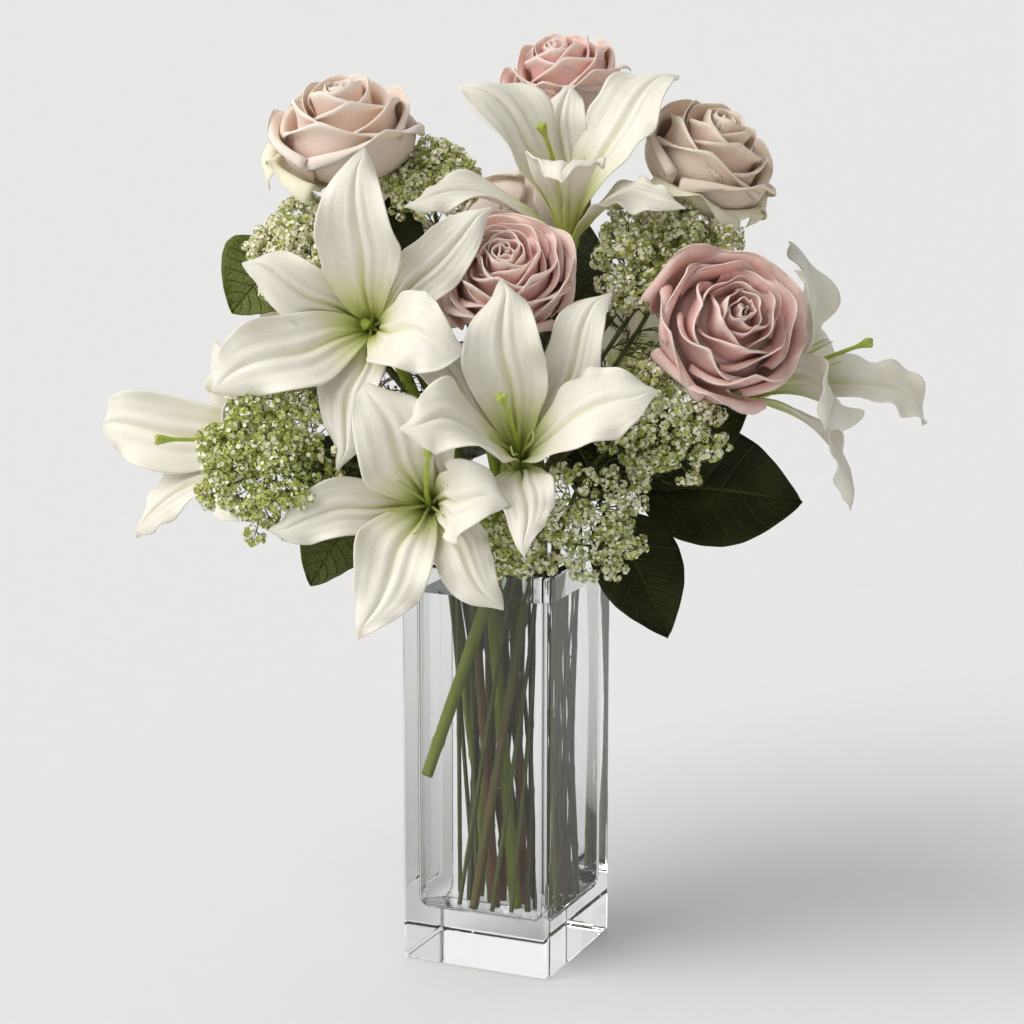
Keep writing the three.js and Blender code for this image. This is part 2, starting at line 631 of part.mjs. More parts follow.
// A ray that widens into a small star-shaped dome of florets, as one closed mesh.
function umbellet(hub, { at, way }, grow = 0) {
  const { arms } = LACE;
  const size = LACE.umbellet + grow;
  const ring = (count, height, radius) =>
    Array.from({ length: count }, (_, k) => {
      const a = (2 * Math.PI * k) / count;
      return [radius(k) * Math.cos(a), radius(k) * Math.sin(a), height(k)];
    });
  const rim = ring(2 * arms, (k) => (k % 2 ? 0 : -1), (k) => size * (k % 2 ? 0.66 : 1.12));
  const neck = ring(arms, () => -0.42 * size, () => LACE.ray + grow);
  const foot = ring(arms, () => -at.distanceTo(hub), () => LACE.ray + grow);
  const index = [];
  const [rimAt, neckAt, footAt] = [1, 1 + 2 * arms, 1 + 3 * arms];
  for (let k = 0; k < arms; k++) {
    const next = (k + 1) % arms;
    const [armA, notch, armB] = [rimAt + 2 * k, rimAt + 2 * k + 1, rimAt + 2 * next];
    index.push(0, armA, notch, 0, notch, armB);
    index.push(neckAt + k, notch, armA, neckAt + k, neckAt + next, notch, neckAt + next, armB, notch);
    index.push(footAt + k, neckAt + next, neckAt + k, footAt + k, footAt + next, neckAt + next);
  }
  for (let k = 1; k < arms - 1; k++) index.push(footAt, footAt + k + 1, footAt + k);
  return closedSolid(standing([[0, 0, 0.62 * size], ...rim, ...neck, ...foot], at, way), index);
}

// Only the rays that stand clear of the blooms and leaves round them are there.
function laceSpray(lace, others) {
  const { hub, axis, places } = umbelletPlaces(lace);
  const stem = stemSolid({ neck: lace.neck, end: hub.toArray(), arrive: axis.toArray() }, LACE.stem, 4);
  const clear = places.filter((place) => {
    const room = umbellet(hub, place, GAP);
    return others.every((other) => other.intersect(room).isEmpty());
  });
  return fuse([stem, ...clear.map((place) => umbellet(hub, place))]);
}

// ---------------------------------------------------------------- leaves
// Each leafy stem ends at a point and carries leaves: where each leaves the stem (1 is its end),
// the leaf's tip, its width and the way its upper face looks.
const FOLIAGE = {
  low_right: {
    neck: polar(29, 20), end: [56, 0, 268], arrive: [0.8, -0.1, 0.5],
    leaves: [
      { from: 1, tip: [165, 0, 260], width: 72, face: [0.05, -0.85, 0.5] },
      { from: 0.85, tip: [89, -28, 189], width: 52, face: [0.3, -0.93, 0.2] },
      { from: 1, tip: [134, 4, 313], width: 44, face: [-0.1, -1.4, 0.2] },
      { from: 0.52, tip: [67, 22, 298], width: 43, face: [-0.2, -1.3, 0.1] },
    ],
  },
  high_right: {
    neck: polar(17, 112), end: [38, 44, 336], arrive: [0.2, 0.2, 0.9],
    leaves: [
      { from: 1, tip: [42, 60, 414], width: 46, face: [-0.3, -0.95, 0.1] },
    ],
  },
  back: {
    neck: polar(29, 44), end: [14, 92, 318], arrive: [0, 0.8, 0.5],
    leaves: [
      { from: 1, tip: [-8, 174, 322], width: 56, face: [0, 0.2, 0.97] },
      { from: 0.7, tip: [-44, 132, 250], width: 54, face: [-0.2, 0.7, 0.6] },
      { from: 0.6, tip: [60, 130, 236], width: 54, face: [0.3, 0.7, 0.5] },
      { from: 0.97, tip: [5, 49, 401], width: 44, face: [0.2, -0.4, 0.6] },
    ],
  },
  high_left: {
    neck: polar(29, 116), end: [-116, 44, 400], arrive: [-0.4, 0.1, 0.9],
    leaves: [
      { from: 1, tip: [-154, 26, 363], width: 56, face: [-0.35, -0.9, 0.2] },
      { from: 0.65, tip: [-37, 22, 372], width: 45, face: [-0.1, -0.9, 0] },
      { from: 0.6, tip: [-56, 29, 436], width: 46, face: [-0.4, -1.3, -0.2] },
    ],
  },
  low_left: {
    neck: polar(29, 140), end: [-74, 8, 262], arrive: [-0.8, 0, 0.5],
    leaves: [
      { from: 1, tip: [-109, -20, 217], width: 46, face: [-0.4, -0.9, 0.2] },
      { from: 0.8, tip: [-140, 66, 246], width: 54, face: [-0.2, 0.1, 0.97] },
      { from: 1, tip: [-121, -10, 290], width: 50, face: [0, -1.2, 0.3] },
    ],
  },
};

// The middle surface of a leaf with a short stalk, from its root on the stem to its tip.
function leafSurface(root, { tip, width, face }) {
  const length = vec(tip).distanceTo(root);
  const along = vec(tip).sub(root).normalize();
  const side = along.clone().cross(unit(face)).normalize();
  const up = side.clone().cross(along);
  return (t, s) => {
    const q = Math.max(0, (t - LEAF.stalk) / (1 - LEAF.stalk));
    const broad = (width / 2) * Math.sin(Math.PI * q ** 0.8) ** 0.8;
    const w = t >= 1 ? 0 : Math.max(broad, 1.3 * (1 - q));
    return root
      .clone()
      .addScaledVector(along, length * t)
      .addScaledVector(side, s * w)
      .addScaledVector(up, LEAF.bow * length * Math.sin(Math.PI * t) + LEAF.fold * w * s * s);
  };
}

function leafyStem({ neck, end, arrive, leaves }) {
  const plan = { neck, end, arrive };
  const { out } = stemCurves(plan);
  const blades = leaves.map((leaf) => {
    return blade(leafSurface(out.getPoint(leaf.from), leaf), LEAF.rows, 2, LEAF.blade);
  });
  return fuse([stemSolid(plan, LEAF.stem, 5), ...blades]);
}

// ---------------------------------------------------------------- the arrangement
const finish = (color, roughness, extra = {}) =>
  new THREE.MeshStandardMaterial({ color, roughness, metalness: 0, flatShading: true, ...extra });

const FINISHES = {
  glass: finish(0xe6efec, 0.05, { transparent: true, opacity: 0.35 }),
  water: finish(0xdfeae4, 0.05, { transparent: true, opacity: 0.3 }),
  lily: finish(0xefeadb, 0.5),
  pistil: finish(0xb9c25a, 0.5),
  lilyStem: finish(0x5d7a2c, 0.55),
  cream: finish(0xf0d2be, 0.6),
  blush: finish(0xdba7a2, 0.6),
  roseStem: finish(0x4c5a2c, 0.6),
  lace: finish(0xd3d9a6, 0.7),
  leaf: finish(0x27380f, 0.45),
};

const arrangement = new THREE.Group();
const bouquet = new THREE.Group();
bouquet.rotation.z = BOUQUET_TURN;
arrangement.add(bouquet);

function addNode(group, name, solid, material) {
  const mesh = new THREE.Mesh(geometryOf(solid), material.clone());
  mesh.name = name;
  group.add(mesh);
  return solid;
}

// Pieces are placed in this order, so that each lace spray can keep clear of what is there.
const placed = [];
for (const [name, bloom] of Object.entries(LILIES)) {
  placed.push(addNode(bouquet, `lily_${name}`, lilyBloom(bloom), FINISHES.lily));
  placed.push(addNode(bouquet, `pistil_${name}`, lilyPistil(bloom), FINISHES.pistil));
}
for (const [name, rose] of Object.entries(ROSES)) {
  const tint = ["middle", "front", "top"].includes(name) ? FINISHES.blush : FINISHES.cream;
  placed.push(addNode(bouquet, `rose_${name}`, roseBloom(rose), tint));
  placed.push(addNode(bouquet, `rose_stem_${name}`, roseStem(rose), FINISHES.roseStem));
}
for (const [name, plan] of Object.entries(LILY_STEMS)) {
  placed.push(addNode(bouquet, `lily_stem_${name}`, lilyStem(plan), FINISHES.lilyStem));
}
for (const [name, spray] of Object.entries(FOLIAGE)) {
  placed.push(addNode(bouquet, `leaves_${name}`, leafyStem(spray), FINISHES.leaf));
}
for (const [name, lace] of Object.entries(LACES)) {
  placed.push(addNode(bouquet, `lace_${name}`, laceSpray(lace, placed), FINISHES.lace));
}

addNode(arrangement, "water", waterSolid(), FINISHES.water);
addNode(arrangement, "vase", vaseSolid(), FINISHES.glass);

export default arrangement;
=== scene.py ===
import math

import bpy
import numpy as np
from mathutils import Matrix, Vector
from mathutils.bvhtree import BVHTree

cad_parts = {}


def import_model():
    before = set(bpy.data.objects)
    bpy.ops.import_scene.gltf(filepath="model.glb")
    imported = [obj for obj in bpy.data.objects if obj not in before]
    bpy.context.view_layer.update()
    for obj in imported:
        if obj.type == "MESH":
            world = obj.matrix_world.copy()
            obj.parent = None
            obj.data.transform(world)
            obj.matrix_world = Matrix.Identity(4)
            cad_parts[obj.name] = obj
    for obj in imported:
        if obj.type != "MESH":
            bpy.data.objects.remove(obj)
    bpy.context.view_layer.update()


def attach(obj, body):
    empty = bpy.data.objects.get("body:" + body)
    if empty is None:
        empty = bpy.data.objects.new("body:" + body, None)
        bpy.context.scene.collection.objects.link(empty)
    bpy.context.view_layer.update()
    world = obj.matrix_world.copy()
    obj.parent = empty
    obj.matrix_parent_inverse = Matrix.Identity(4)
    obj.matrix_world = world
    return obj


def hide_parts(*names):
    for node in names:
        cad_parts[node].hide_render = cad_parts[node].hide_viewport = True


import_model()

MM = 0.001
TURN = math.radians(24)  # from the row frame, square to the vase, to the bouquet's frame
GAP = 0.3  # between a bloom and its stem
GOLDEN = math.pi * (3 - math.sqrt(5))

VASE_HALF, VASE_CORNER, VASE_TOP = 45, 3, 230
BORE_HALF, BORE_CORNER, BASE = 38, 7, 30
WATER_Z, WATER_ROOM, WATER_ROUND = 214, 0.12, 0.1  # the water's skin lies just inside the glass
FLOOR_Z = 30.3  # the stems' feet
NECK_Z = 234
FREE_Z = 262  # above this a stem may carry thread-like leaves


def table(keys, rows):
    """Named rows of values as dicts; a row may leave out its last values."""
    return {name: dict(zip(keys.split(), row)) for name, row in rows.items()}


# The layout of the bouquet, in its own turned frame (u right, v away, z up) and in millimetres.
# A style and petals are tips seen from the lily's base; 1 marks an inner petal, which is broader.
LILIES = table("base axis hook style petals fan", {
    "left": ((-72, -28, 362), (-0.12, -0.95, 0.25), 125, (-4, -18, 5), [
        (-2, -42, 100, 1), (64, -34, 68, 0), (50, -70, -4, 1),
        (-17, -56, -68, 0), (-84, -40, -28, 1), (-68, -26, 38, 0),
    ]),
    "top": ((33, 8, 405), (-0.05, -0.42, 0.9), 120, (-15, -26, 66), [
        (-60, -2, 84, 1), (0, 38, 83, 0), (62, 20, 89, 1),
        (62, -46, 22, 0), (-4, -72, 38, 1), (-88, -36, 22, 0),
    ]),
    "front": ((7, -58, 293), (-0.05, -0.8, 0.6), 120, (-10, -58, 46), [
        (-10, -19, 101, 1), (48, -6, 92, 0), (71, -44, 46, 1),
        (2, -78, -34, 0), (-62, -62, 29, 1), (-62, -14, 68, 0),
    ]),
    "low": ((-40, -52, 268), (-0.12, -0.93, 0.3), 120, (0, -60, 43), [
        (-86, -33, -6, 0), (-38, -54, -60, 1), (38, -54, -44, 0),
        (41, -72, 16, 1), (8, -20, 58, 0), (-34, -38, 74, 1),
    ], 15),
    "far_left": ((-114, 34, 287), (-0.86, -0.48, 0.15), 125, (-82, -30, 8), [
        (-118, 22, 6, 1), (-96, -12, -52, 0), (-34, -54, -34, 1),
        (-10, -58, 4, 0), (-30, -44, 54, 1), (-52, 20, 56, 0),
    ]),
    "right": ((134, 20, 318), (0.8, -0.28, 0.45), 130, (66, -30, 34), [
        (100, 0, -18, 1), (55, -42, -58, 0), (36, -76, -8, 1),
        (22, -40, 74, 0), (26, 34, 82, 1), (48, 64, 26, 0),
    ]),
    "back_left": ((-58, 66, 352), (-0.45, 0.8, 0.4), 125, (-30, 60, 34), [
        (-20, 34, 98, 1), (22, 62, 50, 0), (36, 86, -12, 1),
        (-26, 60, -64, 0), (-90, 40, -14, 1), (-84, 16, 54, 0),
    ]),
    "back_right": ((66, 70, 316), (0.4, 0.88, 0.2), 125, (26, 70, 16), [
        (10, 46, 88, 1), (86, 18, 52, 0), (90, 40, -14, 1),
        (30, 62, -66, 0), (-30, 92, -30, 1), (-42, 70, 36, 0),
    ]),
})
LILY_LENGTH = 112
FILAMENTS = 6
PETALS = table("width root flare rise wave", {1: (45, 3.6, 8, 0.42, 2.6), 0: (33, 5.6, 12, 0.28, 1.3)})
LILY_STEMS = table("neck blooms foot foot_z", {
    "front": ((30, -92), ("front", "low"), (-43.4, -17.6), 108),
    "left": ((29, 164), ("left", "far_left")),
    "right": ((17, 67), ("right", "back_right")),
    "top": ((17, 247), ("top", "back_left")),
})
# Necks are a radius and an angle in the vase's mouth, guards the angles of drooping outermost petals.
ROSES = table("centre axis size turn neck petals ruffle wide tint guards", {
    "left": ((-89, 22, 463), (-0.1, -0.28, 0.95), 43, 10, (17, 202), 20, 0.7, 1, "cream", (176, 222, 135)),
    "top": ((32, 80, 490), (-0.25, -0.3, 0.92), 34, 60, (5, 160), 24, 1.0, 0.85, "blush"),
    # this rose takes the cream tint painted darker, as painted shade
    "right": ((110, 22, 449), (0.42, -0.3, 0.85), 40, 30, (5, -20), 21, 0.8, 0.95, "beige", (-40, -85, 215)),
    "middle": ((0, -47, 391), (-0.05, -0.74, 0.67), 39, 0, (29, -52), 31, 1.5, 0.9, "blush"),
    # this rose takes the blush tint painted darker, as painted shade
    "front": ((116, -45, 364), (0.3, -0.84, 0.45), 46, 45, (17, 292), 27, 1.3, 0.72, "dusty"),
    "back": ((8, 108, 403), (-0.05, 0.86, 0.5), 38, 20, (29, 92), 24, 0.9, 0.9, "cream", (250,)),
})
HEAD_COUNT, HEAD_DEPTH = 9, 6.5  # florets in one head, and how far it stands out from its ray's end
BLOOM_TONES, BLOOM_SHARES = (0.34, 0.6, 0.8, 0.98), (0.15, 0.2, 0.3, 0.35)  # from buds to open florets
LACES = table("centre axis size count fill neck bloom", {
    "upper": ((-44, 14, 449), (-0.1, -0.5, 0.86), 30, 10, 4, (29, 68), (0.2, 0.25, 0.25, 0.3)),
    "left": ((-120, 0, 408), (-0.5, -0.65, 0.55), 36, 11, 4, (17, 157), (0.1, 0.15, 0.3, 0.45)),
    "low_left": ((-131, -84, 297), (-0.3, -0.94, 0.1), 42, 14, 3.6, (29, 188), (0.4, 0.3, 0.15, 0.15)),
    "right": ((90, -22, 412), (0.1, -0.7, 0.7), 44, 13, 4, (17, 337)),
    "low_right": ((86, -70, 318), (0.25, -0.95, 0.15), 38, 12, 2.4, (29, -4)),
    "front": ((48, -84, 264), (0.2, -0.95, -0.1), 34, 11, 1.5, (29, -28)),
    "low": ((4, -76, 251), (0.05, -0.97, -0.1), 24, 6, 1.6, (29, -76)),
    "back_left": ((-112, 92, 326), (-0.6, 0.75, 0.3), 38, 10, 3, (29, 212)),
    "back_right": ((104, 90, 400), (0.4, 0.8, 0.45), 36, 10, 3, (17, 22)),
})
# A leaf's place on its twig, tip, width, facing and painted light, how much lighter it is painted as if lit.
FOLIAGE = table("neck end arrive leaves", {
    "low_right": ((29, 20), (56, 0, 268), (0.8, -0.1, 0.5), [
        (1, (165, 0, 260), 72, (0.05, -0.85, 0.5), 0),
        (0.85, (89, -28, 189), 52, (0.3, -0.93, 0.2), 0),
        (1, (134, 4, 313), 44, (-0.1, -1.4, 0.2), 0),
        (0.52, (67, 22, 298), 43, (-0.2, -1.3, 0.1), 0),
    ]),
    "high_right": ((17, 112), (38, 44, 336), (0.2, 0.2, 0.9), [
        (1, (42, 60, 414), 46, (-0.3, -0.95, 0.1), 0),
    ]),
    "back": ((29, 44), (14, 92, 318), (0, 0.8, 0.5), [
        (1, (-8, 174, 322), 56, (0, 0.2, 0.97), 0),
        (0.7, (-44, 132, 250), 54, (-0.2, 0.7, 0.6), 0),
        (0.6, (60, 130, 236), 54, (0.3, 0.7, 0.5), 0),
        (0.97, (5, 49, 401), 44, (0.2, -0.4, 0.6), 0),
    ]),
    "high_left": ((29, 116), (-116, 44, 400), (-0.4, 0.1, 0.9), [
        (1, (-154, 26, 363), 56, (-0.35, -0.9, 0.2), 1.0),
        (0.65, (-37, 22, 372), 45, (-0.1, -0.9, 0), 0),
        (0.6, (-56, 29, 436), 46, (-0.4, -1.3, -0.2), 0),
    ]),
    "low_left": ((29, 140), (-74, 8, 262), (-0.8, 0, 0.5), [
        (1, (-109, -20, 217), 46, (-0.4, -0.9, 0.2), 0.55),
        (0.8, (-140, 66, 246), 54, (-0.2, 0.1, 0.97), 0),
        (1, (-121, -10, 290), 50, (0, -1.2, 0.3), 0),
    ]),
})


# ---- small helpers
def world(points):
    """Points of the bouquet's turned frame, in millimetres, in the row frame in metres."""
    p = np.asarray(points, float)
    c, s = math.cos(TURN), math.sin(TURN)
    return np.stack([p[..., 0] * c - p[..., 1] * s, p[..., 0] * s + p[..., 1] * c, p[..., 2]], -1) * MM


def unit(v):
    v = np.asarray(v, float)
    return v / np.linalg.norm(v, axis=-1, keepdims=True)


def smooth(x, a, b):
    x = np.clip((np.asarray(x, float) - a) / (b - a), 0, 1)
    return x * x * (3 - 2 * x)


def mix(a, b, t):
    return a + (b - a) * t


def polar(radius, degrees):
    a = math.radians(degrees)
    return np.array([radius * math.cos(a), radius * math.sin(a)])


def run_length(points):
    """How far along a line of points each one is."""
    return np.concatenate([[0], np.cumsum(np.linalg.norm(np.diff(points, axis=0), axis=1))])


def blade_axes(rows, columns):
    """A blade's t, from 0 at its root to 1, as a column, and s, from rim to rim, as a row."""
    return np.linspace(0, 1, rows + 1)[:, None], np.linspace(-1, 1, columns + 1)[None, :]


def stacked(*parts):
    return np.stack(np.broadcast_arrays(*parts), -1)


def bezier(p0, p1, p2, p3, t):
    """Points and tangents of a cubic curve at each t."""
    t = np.asarray(t, float)[..., None]
    p0, p1, p2, p3 = (np.asarray(p, float) for p in (p0, p1, p2, p3))
    u = 1 - t
    at = u**3 * p0 + 3 * u * u * t * p1 + 3 * u * t * t * p2 + t**3 * p3
    to = 3 * u * u * (p1 - p0) + 6 * u * t * (p2 - p1) + 3 * t * t * (p3 - p2)
    return at, to


def square_to(axis):
    """Two directions square to an axis, the second one upward."""
    across = unit(np.cross((0, 0, 1), axis))
    return across, np.cross(axis, across)


def around(axis, angle):
    """Directions square to an axis at an angle round it."""
    across, upward = square_to(axis)
    angle = np.asarray(angle, float)[..., None]
    return across * np.cos(angle) + upward * np.sin(angle)


class Sheaf:
    """Vertices, faces and per-vertex numbers gathered for one mesh."""

    def __init__(self):
        self.points, self.faces, self.maps, self.tones, self.count = [], [], [], [], 0

    def add(self, points, faces, uv=None, tone=0.0):
        points = np.asarray(points, float).reshape(-1, 3)
        n = len(points)
        self.points.append(points)
        self.faces += [[int(k) + self.count for k in face] for face in faces]
        self.maps.append(np.zeros((n, 2)) if uv is None else np.asarray(uv, float).reshape(-1, 2))
        self.tones.append(np.broadcast_to(np.asarray(tone, float), (n,)))
        self.count += n

    def grid(self, points, uv, tone=0.0, wrap=False):
        rows, columns = points.shape[:2]
        ids = np.arange(rows * columns).reshape(rows, columns)
        if wrap:
            ids = np.hstack([ids, ids[:, :1]])
        a, b, c, d = ids[:-1, :-1], ids[1:, :-1], ids[1:, 1:], ids[:-1, 1:]
        faces = np.stack([a, b, c, d], -1).reshape(-1, 4)
        tone = np.broadcast_to(tone, (rows, columns)).reshape(-1)
        self.add(points, faces.tolist(), uv, tone)

    def cap(self, first, rings, sides):
        """Closes both ends of the grid of rings that starts at vertex first."""
        self.faces.append([first + k for k in range(sides)])
        self.faces.append([first + (rings - 1) * sides + k for k in reversed(range(sides))])

    def tube(self, points, radii, sides=10, tone=0.0, caps=True):
        """A tube with its rings square to its course; u runs round and v along, in millimetres."""
        points = np.asarray(points, float)
        n = len(points)
        radii = np.broadcast_to(np.asarray(radii, float), (n,))
        tangent = unit(np.gradient(points, axis=0))
        side = np.eye(3)[0 if abs(tangent[0, 0]) < 0.9 else 1]
        rings = []
        turn = np.arange(sides) * math.tau / sides
        for k in range(n):
            side = unit(side - tangent[k] * (side @ tangent[k]))
            other = np.cross(tangent[k], side)
            ring = np.cos(turn)[:, None] * side + np.sin(turn)[:, None] * other
            rings.append(points[k] + radii[k] * ring)
        rings = np.array(rings)
        along = run_length(points)[:, None]
        uv = stacked(turn[None, :] / math.tau, along)
        first = self.count
        self.grid(rings[:, ::-1], uv[:, ::-1], tone, wrap=True)
        if caps:
            self.cap(first, n, sides)


def add(name, data):
    thing = bpy.data.objects.new(name, data)
    bpy.context.collection.objects.link(thing)
    return thing


def build(name, sheaf, material, nodes, solid=0.0, flat=False):
    """One piece in the row frame, riding on the root, that stands for its CAD nodes."""
    mesh = bpy.data.meshes.new(name)
    points = world(np.concatenate(sheaf.points))
    mesh.from_pydata(points.tolist(), [], sheaf.faces)
    mesh.validate()
    loops = np.empty(len(mesh.loops), int)
    mesh.loops.foreach_get("vertex_index", loops)
    layer = mesh.uv_layers.new(name="UVMap")
    layer.data.foreach_set("uv", np.concatenate(sheaf.maps)[loops].ravel())
    tone = mesh.attributes.new("tone", "FLOAT", "POINT")
    tone.data.foreach_set("value", np.concatenate(sheaf.tones))
    if not flat:
        mesh.polygons.foreach_set("use_smooth", np.ones(len(mesh.polygons), bool))
    mesh.update()
    piece = add(name, mesh)
    mesh.materials.append(material)
    if solid:
        shell = piece.modifiers.new("thickness", "SOLIDIFY")
        shell.thickness = solid * MM
        shell.offset = 0
    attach(piece, "root")
    if nodes:
        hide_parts(*nodes)
    return piece


# ---- materials
# Colours are linear. A piece's tone is a number per vertex that its material turns into colour.
LILY_WHITE, LILY_IVORY, LILY_RIB = (0.845, 0.81, 0.72), (0.79, 0.755, 0.64), (0.74, 0.77, 0.42)
LILY_THROAT, LILY_CUP = (0.56, 0.62, 0.12), (0.36, 0.44, 0.1)
STYLE_GREEN, FILAMENT_PALE = (0.36, 0.44, 0.06), (0.6, 0.66, 0.28)
POLLEN = (0.62, 0.6, 0.14)
GUARD_GREEN, GUARD_TONE = (0.78, 0.79, 0.56), 1.4
ROSE_TINTS = {  # the record's slot, then the heart's, the outer petals', the rims' and the shadow's colour
    "cream": ("rose_cream", (0.91, 0.62, 0.49), (0.9, 0.75, 0.65), (0.92, 0.83, 0.74), (0.84, 0.66, 0.46)),
    # painted shade: the cream tint made darker, for the right rose that stands in shade
    "beige": ("rose_cream", (0.78, 0.55, 0.43), (0.76, 0.63, 0.51), (0.82, 0.72, 0.6), (0.68, 0.53, 0.34)),
    "blush": ("rose_blush", (0.86, 0.46, 0.42), (0.87, 0.62, 0.55), (0.92, 0.78, 0.7), (0.8, 0.32, 0.28)),
    # painted shade: the blush tint made darker, for the front rose that stands in shade
    "dusty": ("rose_blush", (0.74, 0.38, 0.35), (0.77, 0.53, 0.47), (0.84, 0.69, 0.62), (0.68, 0.28, 0.24)),
}
LEAF_DARK, LEAF_DIM = (0.012, 0.017, 0.001), (0.028, 0.036, 0.004)
LEAF_LIT, LEAF_VEIN = (0.14, 0.17, 0.03), (0.085, 0.1, 0.022)
LACE_STALK, LACE_BUD = (0.085, 0.12, 0.01), (0.5, 0.55, 0.085)
LACE_WHITE, LACE_SPECK = (0.95, 0.92, 0.71), (0.66, 0.68, 0.26)
STEM_TINTS = {  # young and old
    "rose_stem": ((0.085, 0.105, 0.012), (0.2, 0.07, 0.022)),
    "lily_stem": ((0.2, 0.26, 0.012), (0.25, 0.27, 0.026)),
    "leaf_stem": ((0.045, 0.058, 0.008), (0.095, 0.062, 0.016)),
    "lace_stem": ((0.095, 0.12, 0.012), (0.12, 0.11, 0.02)),
}


class Shade:
    """A procedural material under construction."""

    def __init__(self, name):
        self.material = bpy.data.materials.new(name)
        self.material.use_nodes = True
        self.tree = self.material.node_tree
        self.surface = self.tree.nodes["Principled BSDF"]
        self.output = self.tree.nodes["Material Output"]

    def node(self, kind, **values):
        """A new node, with its properties and inputs set by name."""
        made = self.tree.nodes.new(kind)
        for key, value in values.items():
            if hasattr(made, key):
                setattr(made, key, value)
            else:
                made.inputs[key.replace("_", " ")].default_value = value
        return made

    def link(self, source, target):
        """Feeds a socket from a number, a colour or another node."""
        if isinstance(source, (int, float)):
            target.default_value = source
        elif isinstance(source, tuple):
            target.default_value = (*source, 1)[:4]
        else:
            self.tree.links.new(source, target)

    def feed(self, made, *values):
        for socket, value in zip(made.inputs, values):
            self.link(value, socket)
        return made.outputs[0]

    def calc(self, operation, *values):
        return self.feed(self.node("ShaderNodeMath", operation=operation), *values)

    def times(self, a, b):
        return self.calc("MULTIPLY", a, b)

    def plus(self, a, b):
        return self.calc("ADD", a, b)

    def minus(self, a, b):
        return self.calc("SUBTRACT", a, b)

    def off_middle(self, value):
        return self.calc("ABSOLUTE", self.minus(value, 0.5))

    def step(self, value, a, b, low=0.0, high=1.0):
        """Smoothly from low at a to high at b."""
        made = self.node("ShaderNodeMapRange", interpolation_type="SMOOTHSTEP")
        return self.feed(made, value, a, b, low, high)

    def blend(self, share, first, second):
        made = self.node("ShaderNodeMix", data_type="RGBA")
        for socket, value in zip((0, 6, 7), (share, first, second)):
            self.link(value, made.inputs[socket])
        return made.outputs[2]

    def uv(self):
        split = self.node("ShaderNodeSeparateXYZ")
        self.link(self.node("ShaderNodeUVMap", uv_map="UVMap").outputs[0], split.inputs[0])
        return split.outputs[0], split.outputs[1]

    def tone(self):
        return self.node("ShaderNodeAttribute", attribute_name="tone").outputs["Fac"]

    def place(self):
        return self.node("ShaderNodeTexCoord").outputs["Object"]

    def noise(self, scale, detail=3.0, rough=0.5, where=None):
        made = self.node("ShaderNodeTexNoise", Scale=scale, Detail=detail, Roughness=rough)
        self.link(where or self.place(), made.inputs["Vector"])
        return made.outputs["Fac"]

    def streaks(self, across, along, z, detail, rough=0.5):
        """Noise drawn out along a blade or a stem."""
        u, v = self.uv()
        where = self.feed(self.node("ShaderNodeCombineXYZ"), self.times(u, across), self.times(v, along), z)
        return self.noise(1.0, detail, rough, where)

    def bump(self, height, distance):
        made = self.node("ShaderNodeBump", Strength=1.0, Distance=distance)
        self.link(height, made.inputs["Height"])
        self.link(made.outputs[0], self.surface.inputs["Normal"])

    def finish(self, colour, roughness, **sockets):
        self.link(colour, self.surface.inputs["Base Color"])
        self.link(roughness, self.surface.inputs["Roughness"])
        for key, value in sockets.items():
            self.surface.inputs[key.replace("_", " ")].default_value = value
        return self.material


def lily_material():
    """White petals with a green rib and throat; tone 1 is the green cup below them."""
    m = Shade("lily_petal")
    u, v = m.uv()
    across = m.off_middle(u)
    fine = m.streaks(46.0, 3.0, m.tone(), 4.0, 0.6)
    colour = m.blend(m.step(m.noise(60.0), 0.3, 0.75), LILY_WHITE, LILY_IVORY)
    rib = m.times(m.step(across, 0.0, 0.08, 1.0, 0.0), m.step(v, 0.2, 0.75, 0.65, 0.0))
    colour = m.blend(rib, colour, LILY_RIB)
    throat = m.plus(v, m.times(m.minus(fine, 0.5), 0.16))
    colour = m.blend(m.step(throat, 0.04, 0.42, 0.95, 0.0), colour, LILY_THROAT)
    colour = m.blend(m.step(m.tone(), 0.45, 0.9), colour, LILY_CUP)
    m.bump(m.plus(m.times(fine, 0.6), m.times(m.noise(900.0), 0.25)), 0.0007)
    return m.finish(
        colour, m.step(fine, 0.2, 0.8, 0.4, 0.55), Subsurface_Weight=0.3, Subsurface_Scale=0.0015,
        Subsurface_Radius=(1.0, 0.85, 0.7), Specular_IOR_Level=0.4,
    )


def pistil_material():
    """A green style and paler filaments, dusted with pollen."""
    m = Shade("pistil")
    tone = m.tone()
    colour = m.blend(m.step(tone, 0.2, 0.5), STYLE_GREEN, FILAMENT_PALE)
    colour = m.blend(m.step(m.noise(260.0), 0.45, 0.75, 0.0, 0.5), colour, POLLEN)
    m.bump(m.noise(1500.0), 0.0004)
    return m.finish(colour, 0.42, Subsurface_Weight=0.15, Subsurface_Scale=0.002)


